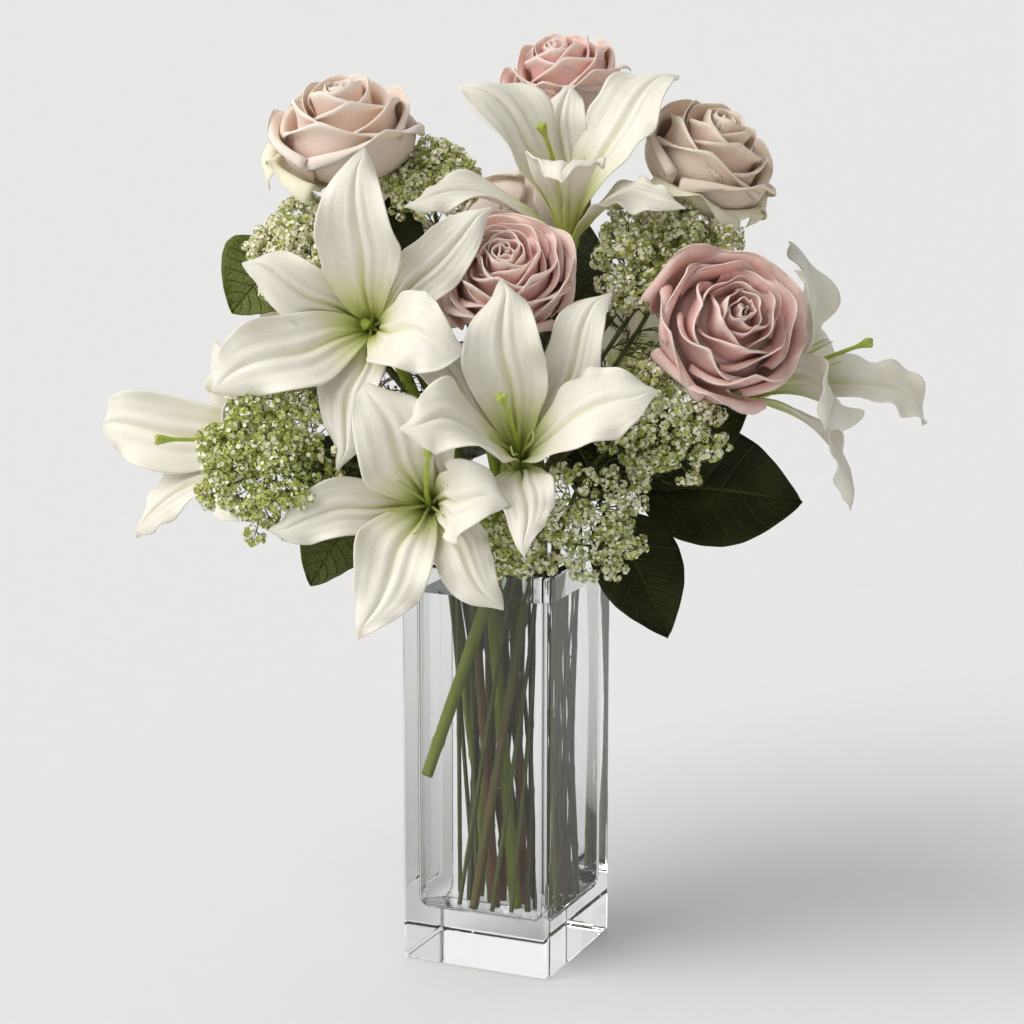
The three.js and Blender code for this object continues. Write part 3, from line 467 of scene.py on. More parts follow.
def rose_material(tint):
    """Petals from the heart's colour at tone 0 to the outer one at 1, green-tinged above that."""
    _, inner, outer, rim, shadow = ROSE_TINTS[tint]
    m = Shade(f"rose_{tint}")
    v = m.uv()[1]
    fine = m.streaks(30.0, 2.4, m.tone(), 5.0, 0.6)
    colour = m.blend(m.tone(), inner, outer)
    colour = m.blend(m.step(v, 0.35, 0.0, 0.0, 0.7), colour, shadow)
    # Paler towards each petal's rim: partly the petals' own paler edge, partly a painted highlight where the
    # rolled rims catch the light.
    edge = m.plus(v, m.times(m.minus(fine, 0.5), 0.2))
    colour = m.blend(m.step(edge, 0.8, 1.02, 0.0, 0.8), colour, rim)
    colour = m.blend(m.step(m.noise(90.0), 0.42, 0.8, 0.0, 0.3), colour, rim)
    colour = m.blend(m.step(m.tone(), 1.05, GUARD_TONE, 0.0, 0.7), colour, GUARD_GREEN)
    m.bump(m.plus(fine, m.times(m.noise(1100.0), 0.3)), 0.0004)
    return m.finish(
        colour, m.step(fine, 0.2, 0.8, 0.52, 0.68), Subsurface_Weight=0.4, Subsurface_Scale=0.0015,
        Subsurface_Radius=(1.0, 0.8, 0.65), Sheen_Weight=0.1, Sheen_Roughness=0.4, Specular_IOR_Level=0.25,
    )


def leaf_material():
    """Dark leaves with sunken veins and a fine net; tone 1 is a leaf painted lighter as if lit, painted
    light.
    """
    m = Shade("leaf")
    u, v = m.uv()
    across = m.off_middle(u)
    ribs = m.calc("FRACT", m.minus(m.times(v, 9.0), m.times(across, 3.6)))
    side = m.step(m.off_middle(ribs), 0.0, 0.09, 1.0, 0.0)
    side = m.times(side, m.step(across, 0.5, 0.3, 0.15, 1.0))
    vein = m.calc("MAXIMUM", side, m.step(across, 0.0, 0.028, 1.0, 0.0))
    net = m.node("ShaderNodeTexVoronoi", feature="DISTANCE_TO_EDGE", Scale=420.0)
    m.link(m.place(), net.inputs["Vector"])
    mesh = m.step(net.outputs["Distance"], 0.0, 0.2)
    blotch = m.noise(45.0)
    colour = m.blend(m.step(blotch, 0.3, 0.75), LEAF_DARK, LEAF_DIM)
    # Painted light: a leaf's tone paints it lighter, as if lit.
    colour = m.blend(m.times(m.tone(), 0.8), colour, LEAF_LIT)
    colour = m.blend(m.times(vein, 0.5), colour, LEAF_VEIN)
    height = m.plus(m.times(vein, -1.0), m.times(mesh, 0.3))
    m.bump(m.plus(height, m.times(blotch, 0.8)), 0.0009)
    return m.finish(colour, m.step(blotch, 0.2, 0.8, 0.44, 0.6), Specular_IOR_Level=0.22)


def lace_material():
    """Green stalks at tone 0, buds above 0.3 and open white florets above 0.8; florets deep in an umbel get
    a lower tone as painted shade.
    """
    m = Shade("lace_flower")
    tone = m.tone()
    speckle = m.noise(700.0)
    colour = m.blend(m.step(tone, 0.05, 0.35), LACE_STALK, LACE_BUD)
    colour = m.blend(m.step(tone, 0.45, 0.8), colour, LACE_WHITE)
    colour = m.blend(m.step(speckle, 0.5, 0.8, 0.0, 0.2), colour, LACE_SPECK)
    m.bump(speckle, 0.0004)
    return m.finish(colour, 0.6, Subsurface_Weight=0.15, Subsurface_Scale=0.002)


def stem_material(name):
    """Streaked bark or skin, from young at tone 0 to old at 1."""
    young, old = STEM_TINTS[name]
    m = Shade(name)
    streak = m.streaks(24.0, 0.035, 0.0, 4.0)
    patch = m.noise(38.0)
    colour = m.blend(m.plus(m.tone(), m.step(patch, 0.4, 0.75, 0.0, 0.35)), young, old)
    pale = tuple(min(1, 1.7 * c + 0.02) for c in young)
    colour = m.blend(m.step(streak, 0.45, 0.8, 0.0, 0.5), colour, pale)
    m.bump(m.plus(streak, m.times(m.noise(900.0), 0.5)), 0.0006)
    return m.finish(colour, m.step(streak, 0.2, 0.8, 0.4, 0.6))


def clear_material(name, tint, ior, ripple, passed, mirror):
    """Clear glass or water; lamps reach what stands behind it."""
    m = Shade(name)
    m.finish(tint, 0.0, Transmission_Weight=1.0, IOR=ior, Specular_Tint=(mirror, mirror, mirror, 1))
    m.bump(m.noise(22.0, 1.0), ripple)
    through = m.node("ShaderNodeBsdfTransparent")
    through.inputs[0].default_value = (passed, passed, passed, 1)
    lamp = m.node("ShaderNodeLightPath").outputs["Is Shadow Ray"]
    both = m.feed(m.node("ShaderNodeMixShader"), lamp, m.surface.outputs[0], through.outputs[0])
    m.link(both, m.output.inputs["Surface"])
    return m.material


# ---- lilies
def petal_places(bloom):
    """Each petal's own angle, height and reach, and its even place in the ring of six."""
    axis = unit(bloom["axis"])
    across, upward = square_to(axis)
    places = []
    for u, v, z, inner in bloom["petals"]:
        tip = np.array([u, v, z])
        height = tip @ axis
        own = math.atan2(tip @ upward, tip @ across)
        reach = math.sqrt(tip @ tip - height * height)
        places.append(dict(own=own, inner=inner, height=height, reach=reach))
    places.sort(key=lambda p: p["own"])
    shift = sum(p["own"] - k * math.pi / 3 for k, p in enumerate(places)) / len(places)
    return [dict(p, even=shift + k * math.pi / 3, order=k) for k, p in enumerate(places)]


def petal_outline(t, blunt):
    """A petal's width at t, as a share of its widest."""
    x = np.clip(2 * t - 1, 0, 1)
    return mix(0.3, 1, smooth(t, 0, 0.5)) * np.clip(1 - x**blunt, 0, 1) ** 0.98


def lily_petal(bloom, place):
    """One petal, from the throat to the tip."""
    kind = PETALS[place["inner"]]
    order, phase = place["order"], bloom["hook"]
    axis = unit(bloom["axis"])
    end = math.radians(phase)
    hook = LILY_LENGTH * 0.27
    t, s = blade_axes(48, 32)
    rim = np.abs(s)
    reach, height = place["reach"], place["height"]
    p, d = bezier(
        (kind["root"], 0),
        (kind["root"] + kind["flare"], LILY_LENGTH * kind["rise"]),
        (reach - hook * math.sin(end), height - hook * math.cos(end)),
        (reach, height),
        t[:, 0],
    )
    d = unit(d)
    outward = around(axis, mix(place["even"], place["own"], smooth(t[:, 0], 0.05, 0.75)))
    side = np.cross(axis, outward)
    inward = -outward * d[:, 1:] + axis * d[:, :1]
    half = kind["width"] / 2
    blunt = 1.95 + 0.45 * math.cos(2.2 * order + 1)
    w = np.minimum(half * petal_outline(t, blunt), 0.98 * math.pi / 3 * p[:, :1])
    bend = mix(1 / p[:, :1], 0.45 / half, smooth(t, 0.05, 0.45)) * (1 - 0.9 * smooth(t, 0.55, 1))
    waved = 1.7 * kind["wave"] * smooth(t, 0.3, 0.6) * (1 - smooth(t, 0.9, 1)) * rim**3
    sway = 3.2 * np.sin(7 * t + 2.4 * order + phase) * smooth(t, 0.25, 0.55) * (1 - smooth(t, 0.85, 1))
    back = (2.6 + 1.8 * math.sin(3 * order + phase)) * rim**2.5
    back = back * smooth(t, 0.5, 0.8) * (1 - smooth(t, 0.93, 1))
    lift = (1 - np.cos(s * w * bend)) / bend
    lift = lift + waved * np.sin(1.7 * order + 11 * t + np.where(s > 0, 2.1, 0))
    body = smooth(t, 0.03, 0.2) * (1 - smooth(t, 0.75, 0.98))
    ruffle = 2.2 * rim**3.5 * np.sin(21 * t + 2.3 * order + 3 * np.sign(s) + 2 * np.sin(7 * t + order))
    ridges = 1.5 * np.exp(-(((rim - 0.2) / 0.1) ** 2)) * (1 - smooth(t, 0.5, 0.85))
    groove = -1.9 * np.exp(-((s / 0.09) ** 2)) + ridges
    pleat = 0.2 * np.cos(s * 21 + order) * (1 - smooth(t, 0.6, 0.9))
    lift = lift + body * (groove + pleat + ruffle * smooth(t, 0.2, 0.5)) - back
    points = (
        np.array(bloom["base"])
        + outward[:, None] * p[:, None, :1]
        + axis * p[:, None, 1:]
        + side[:, None] * (np.sin(s * w * bend) / bend + sway)[..., None]
        + inward[:, None] * lift[..., None]
    )
    return points, stacked((s + 1) / 2, t)


def make_lily(name, bloom, material):
    sheaf = Sheaf()
    for place in petal_places(bloom):
        sheaf.grid(*lily_petal(bloom, place), 0.3 * place["order"] / 5)
    petals = build(f"lily_petals_{name}", sheaf, material, [f"lily_{name}"], solid=0.8)
    cup = Sheaf()
    axis = unit(bloom["axis"])
    depth, radii = np.array([-9, -7, -4, -1, 1, 2.4, 3]), [4, 4.6, 6, 7, 6.2, 4.5, 2]
    cup.tube(np.array(bloom["base"]) + depth[:, None] * axis, radii, 18, 1.0)
    build(f"lily_base_{name}", cup, material, [])
    return petals


def make_pistil(name, bloom, material):
    """The style with its three-lobed head, and the filaments round it."""
    sheaf = Sheaf()
    axis = unit(bloom["axis"])
    base = np.array(bloom["base"])
    seat = base + axis * (3 + GAP)
    tip = base + np.array(bloom["style"])
    length = np.linalg.norm(tip - seat)
    t = np.linspace(0, 1, 40)
    bow = bezier(seat, seat + axis * length / 3, mix(seat + axis * length * 0.5, tip, 1 / 3), tip, t)[0]
    stage = [0, 0.08, 0.2, 0.5, 0.88, 0.93, 0.965, 0.99, 1]
    sheaf.tube(bow, np.interp(t, stage, [2.5, 2.4, 1.7, 1.25, 1.2, 2.0, 3.1, 2.6, 1.6]), 18)
    way = unit(tip - bow[-3])
    for k in range(3):
        out = around(way, k * math.tau / 3 + 0.4)
        lobe = tip - way * 2.4 + out * 1.5 + np.linspace(0, 1, 7)[:, None] * (way * 2.8 + out * 0.5)
        sheaf.tube(lobe, 1.7 * np.sin(np.linspace(0.5, math.pi - 0.25, 7)), 10, 0.1)
    for k in range(FILAMENTS):
        out = around(axis, (k + 0.4) * math.pi / 3)
        start = seat + axis * 1.5 + out * 1.2
        end = start + axis * length * 0.66 + out * (bloom.get("fan", 11) + 4 * math.sin(5 * k))
        q = np.linspace(0, 1, 16)
        line = bezier(start, start + axis * length * 0.3 + out, end - axis * length * 0.3, end, q)[0]
        sheaf.tube(line, np.interp(q, [0, 0.8, 1], [0.95, 0.6, 0.35]), 8, 0.45)
    build(f"lily_pistil_{name}", sheaf, material, [f"pistil_{name}"])


# ---- roses
def rose_foot(rose, gap=0.0):
    """The point on a rose's axis that its petals grow from."""
    return np.array(rose["centre"]) - (0.6 * rose["size"] + gap) * unit(rose["axis"])


def rose_petal(rose, f, azimuth, seed, droop=0.0):
    """One petal; f runs from the heart at 0 to the outermost ones at 1. A guard petal droops."""
    dice = np.random.default_rng(seed)
    size = rose["size"]
    axis = unit(rose["axis"])
    base = rose_foot(rose)
    t, s = blade_axes(22, 24)
    stage = [0, 0.25, 0.5, 0.75, 1]
    belly = size * np.interp(f, stage, [0.09, 0.28, 0.48, 0.69, 0.85])
    rim = size * np.interp(f, stage, [0.04, 0.18, 0.38, 0.62, 0.85]) * dice.uniform(0.97, 1.03)
    height = size * np.interp(f, stage, [1.27, 1.3, 1.25, 1.13, 0.92]) * dice.uniform(0.97, 1.02)
    height = height * (1 - 0.42 * droop)
    root = size * 0.22 * (1 - f)
    spread = rose["wide"] * np.interp(f, stage, [2.6, 1.9, 1.55, 1.35, 1.2]) * (1 - 0.35 * droop)
    rim = rim * (1 + 0.04 * droop)
    top = 1 - np.interp(f, stage, [0.03, 0.05, 0.08, 0.11, 0.15]) * np.abs(s) ** 2.6
    p = bezier(
        (0.02 * size, root),
        (belly * 1.2, root + 0.02 * size),
        (belly * 1.12, height * 0.62),
        (rim, height),
        t * top,
    )[0]
    curl = np.interp(f, [0, 0.2, 0.5, 1], [0.0, 0.3, 0.75, 1.0]) * dice.uniform(0.7, 1.2)
    fold = (0.45 + 0.85 * np.abs(s) ** 1.2) * curl
    zone = smooth(t, 0.7, 1.0)
    lip = size * mix(0.09, 0.2, f)
    turn = np.minimum(2.3 * fold * zone, 2.5)
    out = p[..., 0] + lip * np.sin(turn) * zone
    up = p[..., 1] - lip * (1 - np.cos(turn)) * zone
    up = up + size * mix(0.01, 0.05, f) * np.exp(-((s / 0.22) ** 2)) * zone / rose["wide"]
    lap = size * np.interp(f, stage, [0.012, 0.03, 0.045, 0.055, 0.055])
    out = out + s * lap * smooth(t, 0.1, 0.5)
    wave = rose["ruffle"] * size * 0.035 * mix(0.6, 1, f) * smooth(t, 0.5, 1.0)
    up = up + 0.7 * wave * np.sin(5.2 * s + seed) * np.abs(s)
    out = out + 0.7 * wave * np.sin(6.5 * s + 2 * seed)
    angle = azimuth + s * spread * (0.35 + 0.65 * smooth(t, 0.0, 0.55)) * (1 - 0.08 * smooth(t, 0.8, 1))
    points = base + around(axis, angle) * out[..., None] + axis * up[..., None]
    return points, stacked((s + 1) / 2, t)


def make_rose(name, rose, material):
    """The petals, laid at the golden angle round a solid core, and the guard petals."""
    sheaf = Sheaf()
    count = rose["petals"]
    start = math.radians(rose["turn"])
    for k in range(count):
        f = k / (count - 1)
        sheaf.grid(*rose_petal(rose, f, start + k * GOLDEN, 100 * rose["turn"] + k), f)
    for k, azimuth in enumerate(rose.get("guards", ())):
        sheaf.grid(*rose_petal(rose, 1.0, math.radians(azimuth), 50 + k, droop=1.0), GUARD_TONE)
    radii = rose["size"] * np.array([0.05, 0.5, 0.66, 0.55, 0.36, 0.16, 0.03])
    up = rose["size"] * np.array([0.05, 0.12, 0.4, 0.66, 0.86, 0.98, 1.0])
    sheaf.tube(rose_foot(rose) + up[:, None] * unit(rose["axis"]), radii, 30, 0.3)
    return build(f"rose_petals_{name}", sheaf, material, [f"rose_{name}"], solid=0.5)


# ---- lace flower
def lace_places(lace):
    """Where an umbel's rays start, its axis, and the rays' ends and directions."""
    axis = unit(lace["axis"])
    ray = lace["size"] * 0.95
    hub = np.array(lace["centre"]) - axis * ray * 0.85
    k = np.arange(lace["count"])
    tilt = math.radians(68) * np.sqrt((k + 0.3) / lace["count"])
    out = around(axis, k * GOLDEN)
    way = axis * np.cos(tilt)[:, None] + out * np.sin(tilt)[:, None]
    length = ray * (1 + 0.1 * np.sin(5.3 * k)) * (1 + 0.12 * tilt)
    return hub, axis, hub + way * length[:, None], way


class Clearance:
    """Tells whether small things stand clear of the blooms and leaves."""

    def __init__(self, pieces):
        points, faces = [], []
        for piece in pieces:
            first = len(points)
            points += [v.co for v in piece.data.vertices]
            faces += [[first + k for k in face.vertices] for face in piece.data.polygons]
        self.tree = BVHTree.FromPolygons(points, faces)

    def free(self, at, room):
        return self.tree.find_nearest(Vector(world(at)), room * MM)[0] is None

    def open(self, start, end):
        a, b = Vector(world(start)), Vector(world(end))
        return self.tree.ray_cast(a, (b - a).normalized(), (b - a).length)[0] is None


def florets(sheaf, ats, ways, radii, tones, dice):
    """Five cupped petals round a green middle, for many florets at once."""
    n, lobes = len(ats), 5
    edge = 3 * lobes
    across = unit(np.cross(ways, unit(np.array([0.31, 0.23, 0.92]))))
    upward = np.cross(ways, across)
    turn = dice.uniform(0, math.tau, n)
    spin = (np.arange(lobes) * math.tau / lobes)[:, None] + np.array([-0.56, 0, 0.56])
    angle = turn[:, None] + spin.reshape(1, edge)
    far = np.tile([0.84, 1.05, 0.84], lobes)
    reach = (radii[:, None] * far)[..., None]
    out = across[:, None] * np.cos(angle)[..., None] + upward[:, None] * np.sin(angle)[..., None]
    rim = ats[:, None] + out * reach + ways[:, None] * reach * 0.22
    points = np.concatenate([ats[:, None] + ways[:, None] * 0.1, rim], 1)
    petal = np.array([[0, 1 + 3 * k, 2 + 3 * k, 3 + 3 * k] for k in range(lobes)])
    faces = (petal[None] + (edge + 1) * np.arange(n)[:, None, None]).reshape(-1, 4)
    middle = np.maximum(tones - 0.3, 0)[:, None]
    shade = np.concatenate([middle, np.repeat(tones[:, None], edge, 1)], 1)
    sheaf.add(points, faces.tolist(), None, shade.reshape(-1))


def domed(axis, widest, count, turn):
    """Directions spread evenly over a dome round an axis."""
    k = np.arange(count)
    lean = math.radians(widest) * np.sqrt((k + 0.4) / count)
    out = around(axis, k * GOLDEN + turn)
    return axis * np.cos(lean)[:, None] + out * np.sin(lean)[:, None]


def make_lace(name, lace, material, clearance):
    """Rays, shorter ones that branch off them, and a domed head of florets on each."""
    sheaf = Sheaf()
    dice = np.random.default_rng(len(name) * 31 + int(lace["size"]))
    hub, axis, ends, ways = lace_places(lace)
    rays, feet, headings = [], [], []
    t = np.linspace(0, 1, 7)
    for at, way in zip(ends, ways):
        foot = at - way * HEAD_DEPTH
        if clearance.open(hub, foot):
            inner, outer = (mix(hub, foot, share) + axis * 0.8 for share in (0.33, 0.67))
            rays.append(bezier(hub, inner, outer, foot, t)[0])
            sheaf.tube(rays[-1], 0.5, 5)
            feet.append(foot)
            headings.append(way)
    main = np.array(feet)
    more = int(lace["fill"] * lace["count"])
    for k in range(more):
        tilt = math.radians(74) * math.sqrt((k + 0.4) / more)
        way = unit(axis * math.cos(tilt) + around(axis, k * GOLDEN + 0.9) * math.sin(tilt))
        length = lace["size"] * 0.95 * (1 + 0.12 * tilt) * dice.uniform(0.72, 1.06)
        foot = hub + way * (length - HEAD_DEPTH)
        apart = np.linalg.norm(main - foot, axis=1)
        start = rays[int(apart.argmin())][dice.integers(2, 5)]
        if apart.min() > 4 and clearance.free(foot, 1.2) and clearance.open(start, foot):
            branch = bezier(start, mix(start, foot, 0.4) + way, foot - way * 2, foot, t)[0]
            sheaf.tube(branch, 0.36, 4)
            feet.append(foot)
            headings.append(way)
    ats, heads = [], []
    for foot, way in zip(feet, headings):
        turn = dice.uniform(0, 6)
        minor = unit(domed(way, 84, HEAD_COUNT, turn) + dice.normal(0, 0.1, (HEAD_COUNT, 3)))
        for head in minor:
            tip = foot + head * dice.uniform(5.6, 9.8)
            if not (clearance.free(tip, 1.5) and clearance.open(foot, tip)):
                continue
            middle = tip - head * 1.6
            sheaf.tube([foot, middle], 0.22, 3, 0.1, caps=False)
            small = unit(domed(head, 96, HEAD_COUNT, dice.uniform(0, 6)))
            ats.append(middle + small * dice.uniform(1.5, 2.9, (HEAD_COUNT, 1)))
            heads.append(small)
    ats, heads = np.concatenate(ats), np.concatenate(heads)
    n = len(ats)
    tones = dice.choice(BLOOM_TONES, n, p=lace.get("bloom", BLOOM_SHARES))
    # Painted shade: florets deep inside the umbel, near its hub, get a lower tone and so the darker green of
    # buds and stalks.
    depth = np.linalg.norm(ats - hub, axis=1) / (lace["size"] * 0.95)
    tones = np.maximum(tones - 0.5 * np.clip((0.95 - depth) * 2.5, 0, 1), 0.05)
    florets(sheaf, ats, heads, dice.uniform(0.95, 1.5, n), tones, dice)
    build(f"lace_florets_{name}", sheaf, material, [])
    return hub, axis


def feathered_leaves(sheaf, course, clearance, seed, rib_points=8):
    """The thread-like leaves of a lace flower, along the free part of its stem."""
    dice = np.random.default_rng(seed)
    free = course[course[:, 2] > FREE_Z][:-8]
    t = np.linspace(0, 1, rib_points)
    for k in range(min(15, len(free) // 3)):
        i = int((0.02 + 0.065 * k) * (len(free) - 2))
        at, way = free[i], unit(free[i + 1] - free[i])
        out = around(way, k * GOLDEN + dice.uniform(0, 1.5))
        length = dice.uniform(34, 52)
        tip = at + (way * 0.45 + out * 0.9) * length
        if not clearance.open(at + out * 2, tip):
            tip = mix(at, tip, 0.55)
            if not clearance.open(at + out * 2, tip):
                continue
        rib = bezier(at, at + way * length * 0.35 + out, mix(at, tip, 0.6) + way * 4, tip, t)[0]
        sheaf.tube(rib, np.linspace(0.55, 0.25, rib_points), 5, 0.1)
        ahead, flat = unit(tip - at), unit(np.cross(tip - at, way))
        for j in range(2, 2 * rib_points):
            root = mix(rib[j // 2], rib[min(j // 2 + 1, rib_points - 1)], 0.5 * (j % 2))
            side = flat * (1 if j % 2 else -1)
            span = length * 0.36 * (1 - j / 20) * dice.uniform(0.8, 1.2)
            far = root + (ahead * 0.65 + side * 0.75 + dice.normal(0, 0.12, 3)) * span
            sheaf.tube([root, mix(root, far, 0.5) + way * 0.8, far], [0.42, 0.34, 0.2], 3, 0.1)
            for m in (0.35, 0.6, 0.8):
                fork = mix(root, far, m) + way * 0.6
                point = fork + (ahead * 0.9 - side * 0.25 + dice.normal(0, 0.25, 3)) * span * 0.4
                sheaf.tube([fork, point], [0.32, 0.16], 3, 0.1)


def make_lace_stem(name, lace, hub, axis, material, clearance):
    stalk = Sheaf()
    points = dense(stem_course(lace["neck"], hub, axis)[0])
    radii = knots(points, 1.3, every=70, swell=0.15, seed=2)
    stalk.tube(points, radii, 10, 0.1)
    feathered_leaves(stalk, points, clearance, seed=40 + len(name))
    build(f"lace_stalk_{name}", stalk, material, [f"lace_{name}"])


# ---- stems
def foot_below(radius, degrees):
    """A stem's foot; the outer and the inner ring of stems slant opposite ways."""
    return polar(0.95 * radius, degrees + (-75 if radius > 25 else 60))


def stem_course(neck, end, arrive, foot=None, foot_z=FLOOR_Z):
    """Points from the vase's floor to the end, and the control points of the curved stretch."""
    foot = foot_below(*neck) if foot is None else foot
    low = np.array([*foot, foot_z])
    mid = np.array([*polar(*neck), NECK_Z])
    rise = unit(mid - low)
    last = np.array(end)
    span = np.linalg.norm(last - mid) * 0.4
    control = (mid, mid + rise * span, last - unit(arrive) * span, last)
    straight = low + (mid - low) * np.linspace(0, 1, 26)[:-1, None]
    curved = bezier(*control, np.linspace(0, 1, 22))[0]
    return np.vstack([straight, curved]), control


def knots(points, radius, every, swell, seed):
    """Radii along a stem, a little thicker at its nodes."""
    dice = np.random.default_rng(seed)
    length = run_length(points)
    radii = np.full(len(points), float(radius))
    for at in np.arange(every * dice.uniform(0.3, 0.8), length[-1], every):
        radii += radius * swell * np.exp(-(((length - at) / 2.4) ** 2))
    return radii * (1 + 0.03 * np.sin(length / 9 + seed))


def dense(points, step=2.0):
    """The same line with evenly spaced points."""
    length = run_length(points)
    at = np.linspace(0, length[-1], max(3, int(length[-1] / step)))
    return np.stack([np.interp(at, length, points[:, k]) for k in range(3)], -1)


def bloom_seat(bloom, depth):
    """A point on a lily's axis, below its base."""
    return np.array(bloom["base"]) - unit(bloom["axis"]) * (depth + GAP)


def make_lily_stem(name, plan, material):
    """One stem, and the branch that leaves it above the vase's neck."""
    sheaf = Sheaf()
    main, branch = (LILIES[b] for b in plan["blooms"])
    low, high = 19, 9
    foot, foot_z = plan.get("foot"), plan.get("foot_z", FLOOR_Z)
    course, control = stem_course(plan["neck"], bloom_seat(main, low), main["axis"], foot, foot_z)
    points = dense(np.vstack([course, bloom_seat(main, high)]))
    sheaf.tube(points, knots(points, 3.6, every=62, swell=0.16, seed=3), 14, 0.1)
    start, heading = (found[0] for found in bezier(*control, np.array([0.12])))
    end = bloom_seat(branch, low)
    span = np.linalg.norm(end - start) * 0.4
    leave, arrive = start + unit(heading) * span, end - unit(branch["axis"]) * span
    twig = bezier(start, leave, arrive, end, np.linspace(0, 1, 30))[0]
    points = dense(np.vstack([twig, bloom_seat(branch, high)]))
    sheaf.tube(points, 2.8, 12)
    build(f"lily_stalk_{name}", sheaf, material, [f"lily_stem_{name}"])


def thorn(sheaf, at, out, along, size):
    tip = at + out * size * 1.3 - along * size * 0.35
    long, wide = along * size * 0.8, np.cross(out, along) * size * 0.3
    ring = [at + long, at + wide, at - long, at - wide]
    sheaf.add([tip, *ring], [[0, 1, 2], [0, 2, 3], [0, 3, 4], [0, 4, 1]], None, 0.7)


def make_rose_stem(name, rose, material, seed):
    """The stem with its thorns, the hip under the bloom and the five sepals."""
    sheaf = Sheaf()
    dice = np.random.default_rng(seed)
    axis = unit(rose["axis"])
    top = rose_foot(rose, GAP)
    course = stem_course(rose["neck"], top - axis * 16, rose["axis"])[0]
    points = dense(np.vstack([course, top - axis * 10.5]))
    age = np.clip(1.05 - np.linspace(0, 1.9, len(points)), 0, 1) * (0.9 if seed % 2 else 0.35)
    radii = knots(points, 2.6, every=46, swell=0.3, seed=seed)
    sheaf.tube(points, radii, 12, np.repeat(age[:, None], 12, 1))
    hip = top + axis * np.array([-12, -10, -8, -6, -4, -2, 0])[:, None]
    sheaf.tube(hip, [2.6, 3.6, 5.6, 6.8, 6.9, 6.2, 5.2], 16)
    heading = unit(np.gradient(points, axis=0))
    for k in range(6, len(points) - 12, 9):
        out = unit(np.cross(heading[k], dice.normal(0, 1, 3)))
        thorn(sheaf, points[k] + out * radii[k] * 0.9, out, heading[k], dice.uniform(1.0, 1.9))
    t = np.linspace(0, 1, 9)
    width = (3.4 * (1 - t) ** 0.7)[:, None, None] * np.linspace(-1, 1, 5)[None, :, None]
    for k in range(5):
        out = around(axis, math.radians(rose["turn"]) + (k + 0.5) * math.tau / 5)
        side = np.cross(axis, out)
        near, far = top + out * 19 - axis * 2, top + out * 24 - axis * 12
        line = bezier(top - axis * 1.5 + out * 4, top + out * 12, near, far, t)[0]
        sepal = line[:, None] + side * width + axis * np.abs(width) * 0.25
        sheaf.grid(sepal, np.zeros((9, 5, 2)))
    build(f"rose_stalk_{name}", sheaf, material, [f"rose_stem_{name}"])


# ---- leaves
def leaf_blade(root, tip, width, face):
    """One leaf; the first seventh of t is its stalk, and q runs along the blade."""
    length = np.linalg.norm(tip - root)
    along = unit(tip - root)
    side = unit(np.cross(along, unit(face)))
    up = np.cross(side, along)
    t, s = blade_axes(40, 16)
    q = np.clip((t - 0.14) / 0.86, 0, 1)
    broad = width / 2 * np.sin(math.pi * q**0.8) ** 0.8
    w = np.maximum(broad, 1.2 * (1 - q))
    w[-1] = 0.05
    wave = 0.02 * length * np.sin(13 * t + 2 * np.sign(s)) * np.abs(s) ** 3 * smooth(q, 0.05, 0.3)
    ribs = 0.35 * np.cos(2 * math.pi * (9 * t - 1.8 * np.abs(s))) * smooth(np.abs(s), 0, 0.3)
    vein = -0.8 * np.exp(-((s / 0.07) ** 2)) + ribs
    lift = 0.09 * length * np.sin(math.pi * t) + 0.2 * w * s * s + wave + vein * smooth(q, 0.0, 0.2)
    points = root + along * (length * t)[..., None] + side * (s * w)[..., None] + up * lift[..., None]
    return points, stacked((s + 1) / 2, q)


def make_leaves(name, spray, leaf, stem):
    course, control = stem_course(spray["neck"], spray["end"], spray["arrive"])
    blades = Sheaf()
    # A leaf's light value is painted light: it paints the leaf lighter, as if lit.
    for at, tip, width, face, light in spray["leaves"]:
        root = bezier(*control, np.array([at]))[0][0]
        blades.grid(*leaf_blade(root, np.array(tip), width, face), float(light))
    made = build(f"leaf_blades_{name}", blades, leaf, [f"leaves_{name}"], solid=0.6)
    stalk = Sheaf()
    points = dense(course)
    stalk.tube(points, knots(points, 2.1, every=40, swell=0.2, seed=5), 12, 0.3)
    build(f"leaf_stalk_{name}", stalk, stem, [])
    return made


# ---- vase and water
def closed_pillar(sheaf, rings, arcs=8):
    """A closed body through rounded squares (half, corner radius, z), square to the row frame."""
    half, radius, z = np.array(rings, float).T[..., None]
    quarter = np.repeat(np.arange(4), arcs + 1) * math.pi / 2
    a = quarter + np.tile(np.arange(arcs + 1), 4) * math.pi / 2 / arcs
    corner = quarter + math.pi / 4
    x = (half - radius) * np.sign(np.cos(corner)) + radius * np.cos(a)
    y = (half - radius) * np.sign(np.sin(corner)) + radius * np.sin(a)
    c, s = math.cos(TURN), math.sin(TURN)
    points = stacked(x * c + y * s, -x * s + y * c, z)
    sheaf.grid(points[:, ::-1], np.zeros((*points.shape[:2], 2)), wrap=True)
    sheaf.cap(0, *points.shape[:2])


def fillet(half, radius, z, size, steps=6):
    """Rings of a rounded edge that runs from flat to upright."""
    angles = [k * math.pi / 2 / steps for k in range(steps + 1)]
    return [(half - size * (1 - math.sin(a)), radius, z + size * (1 - math.cos(a))) for a in angles]


def bore_floor(room=0.0, rounder=0.0):
    """The rounded bottom of the bore, from its middle up to its sides, or a little larger."""
    return [
        (half + room, max(1.2, BORE_CORNER - (BORE_HALF - half)) + rounder, z - room)
        for half, _, z in fillet(BORE_HALF, BORE_CORNER, BASE, BORE_CORNER, 8)
    ]


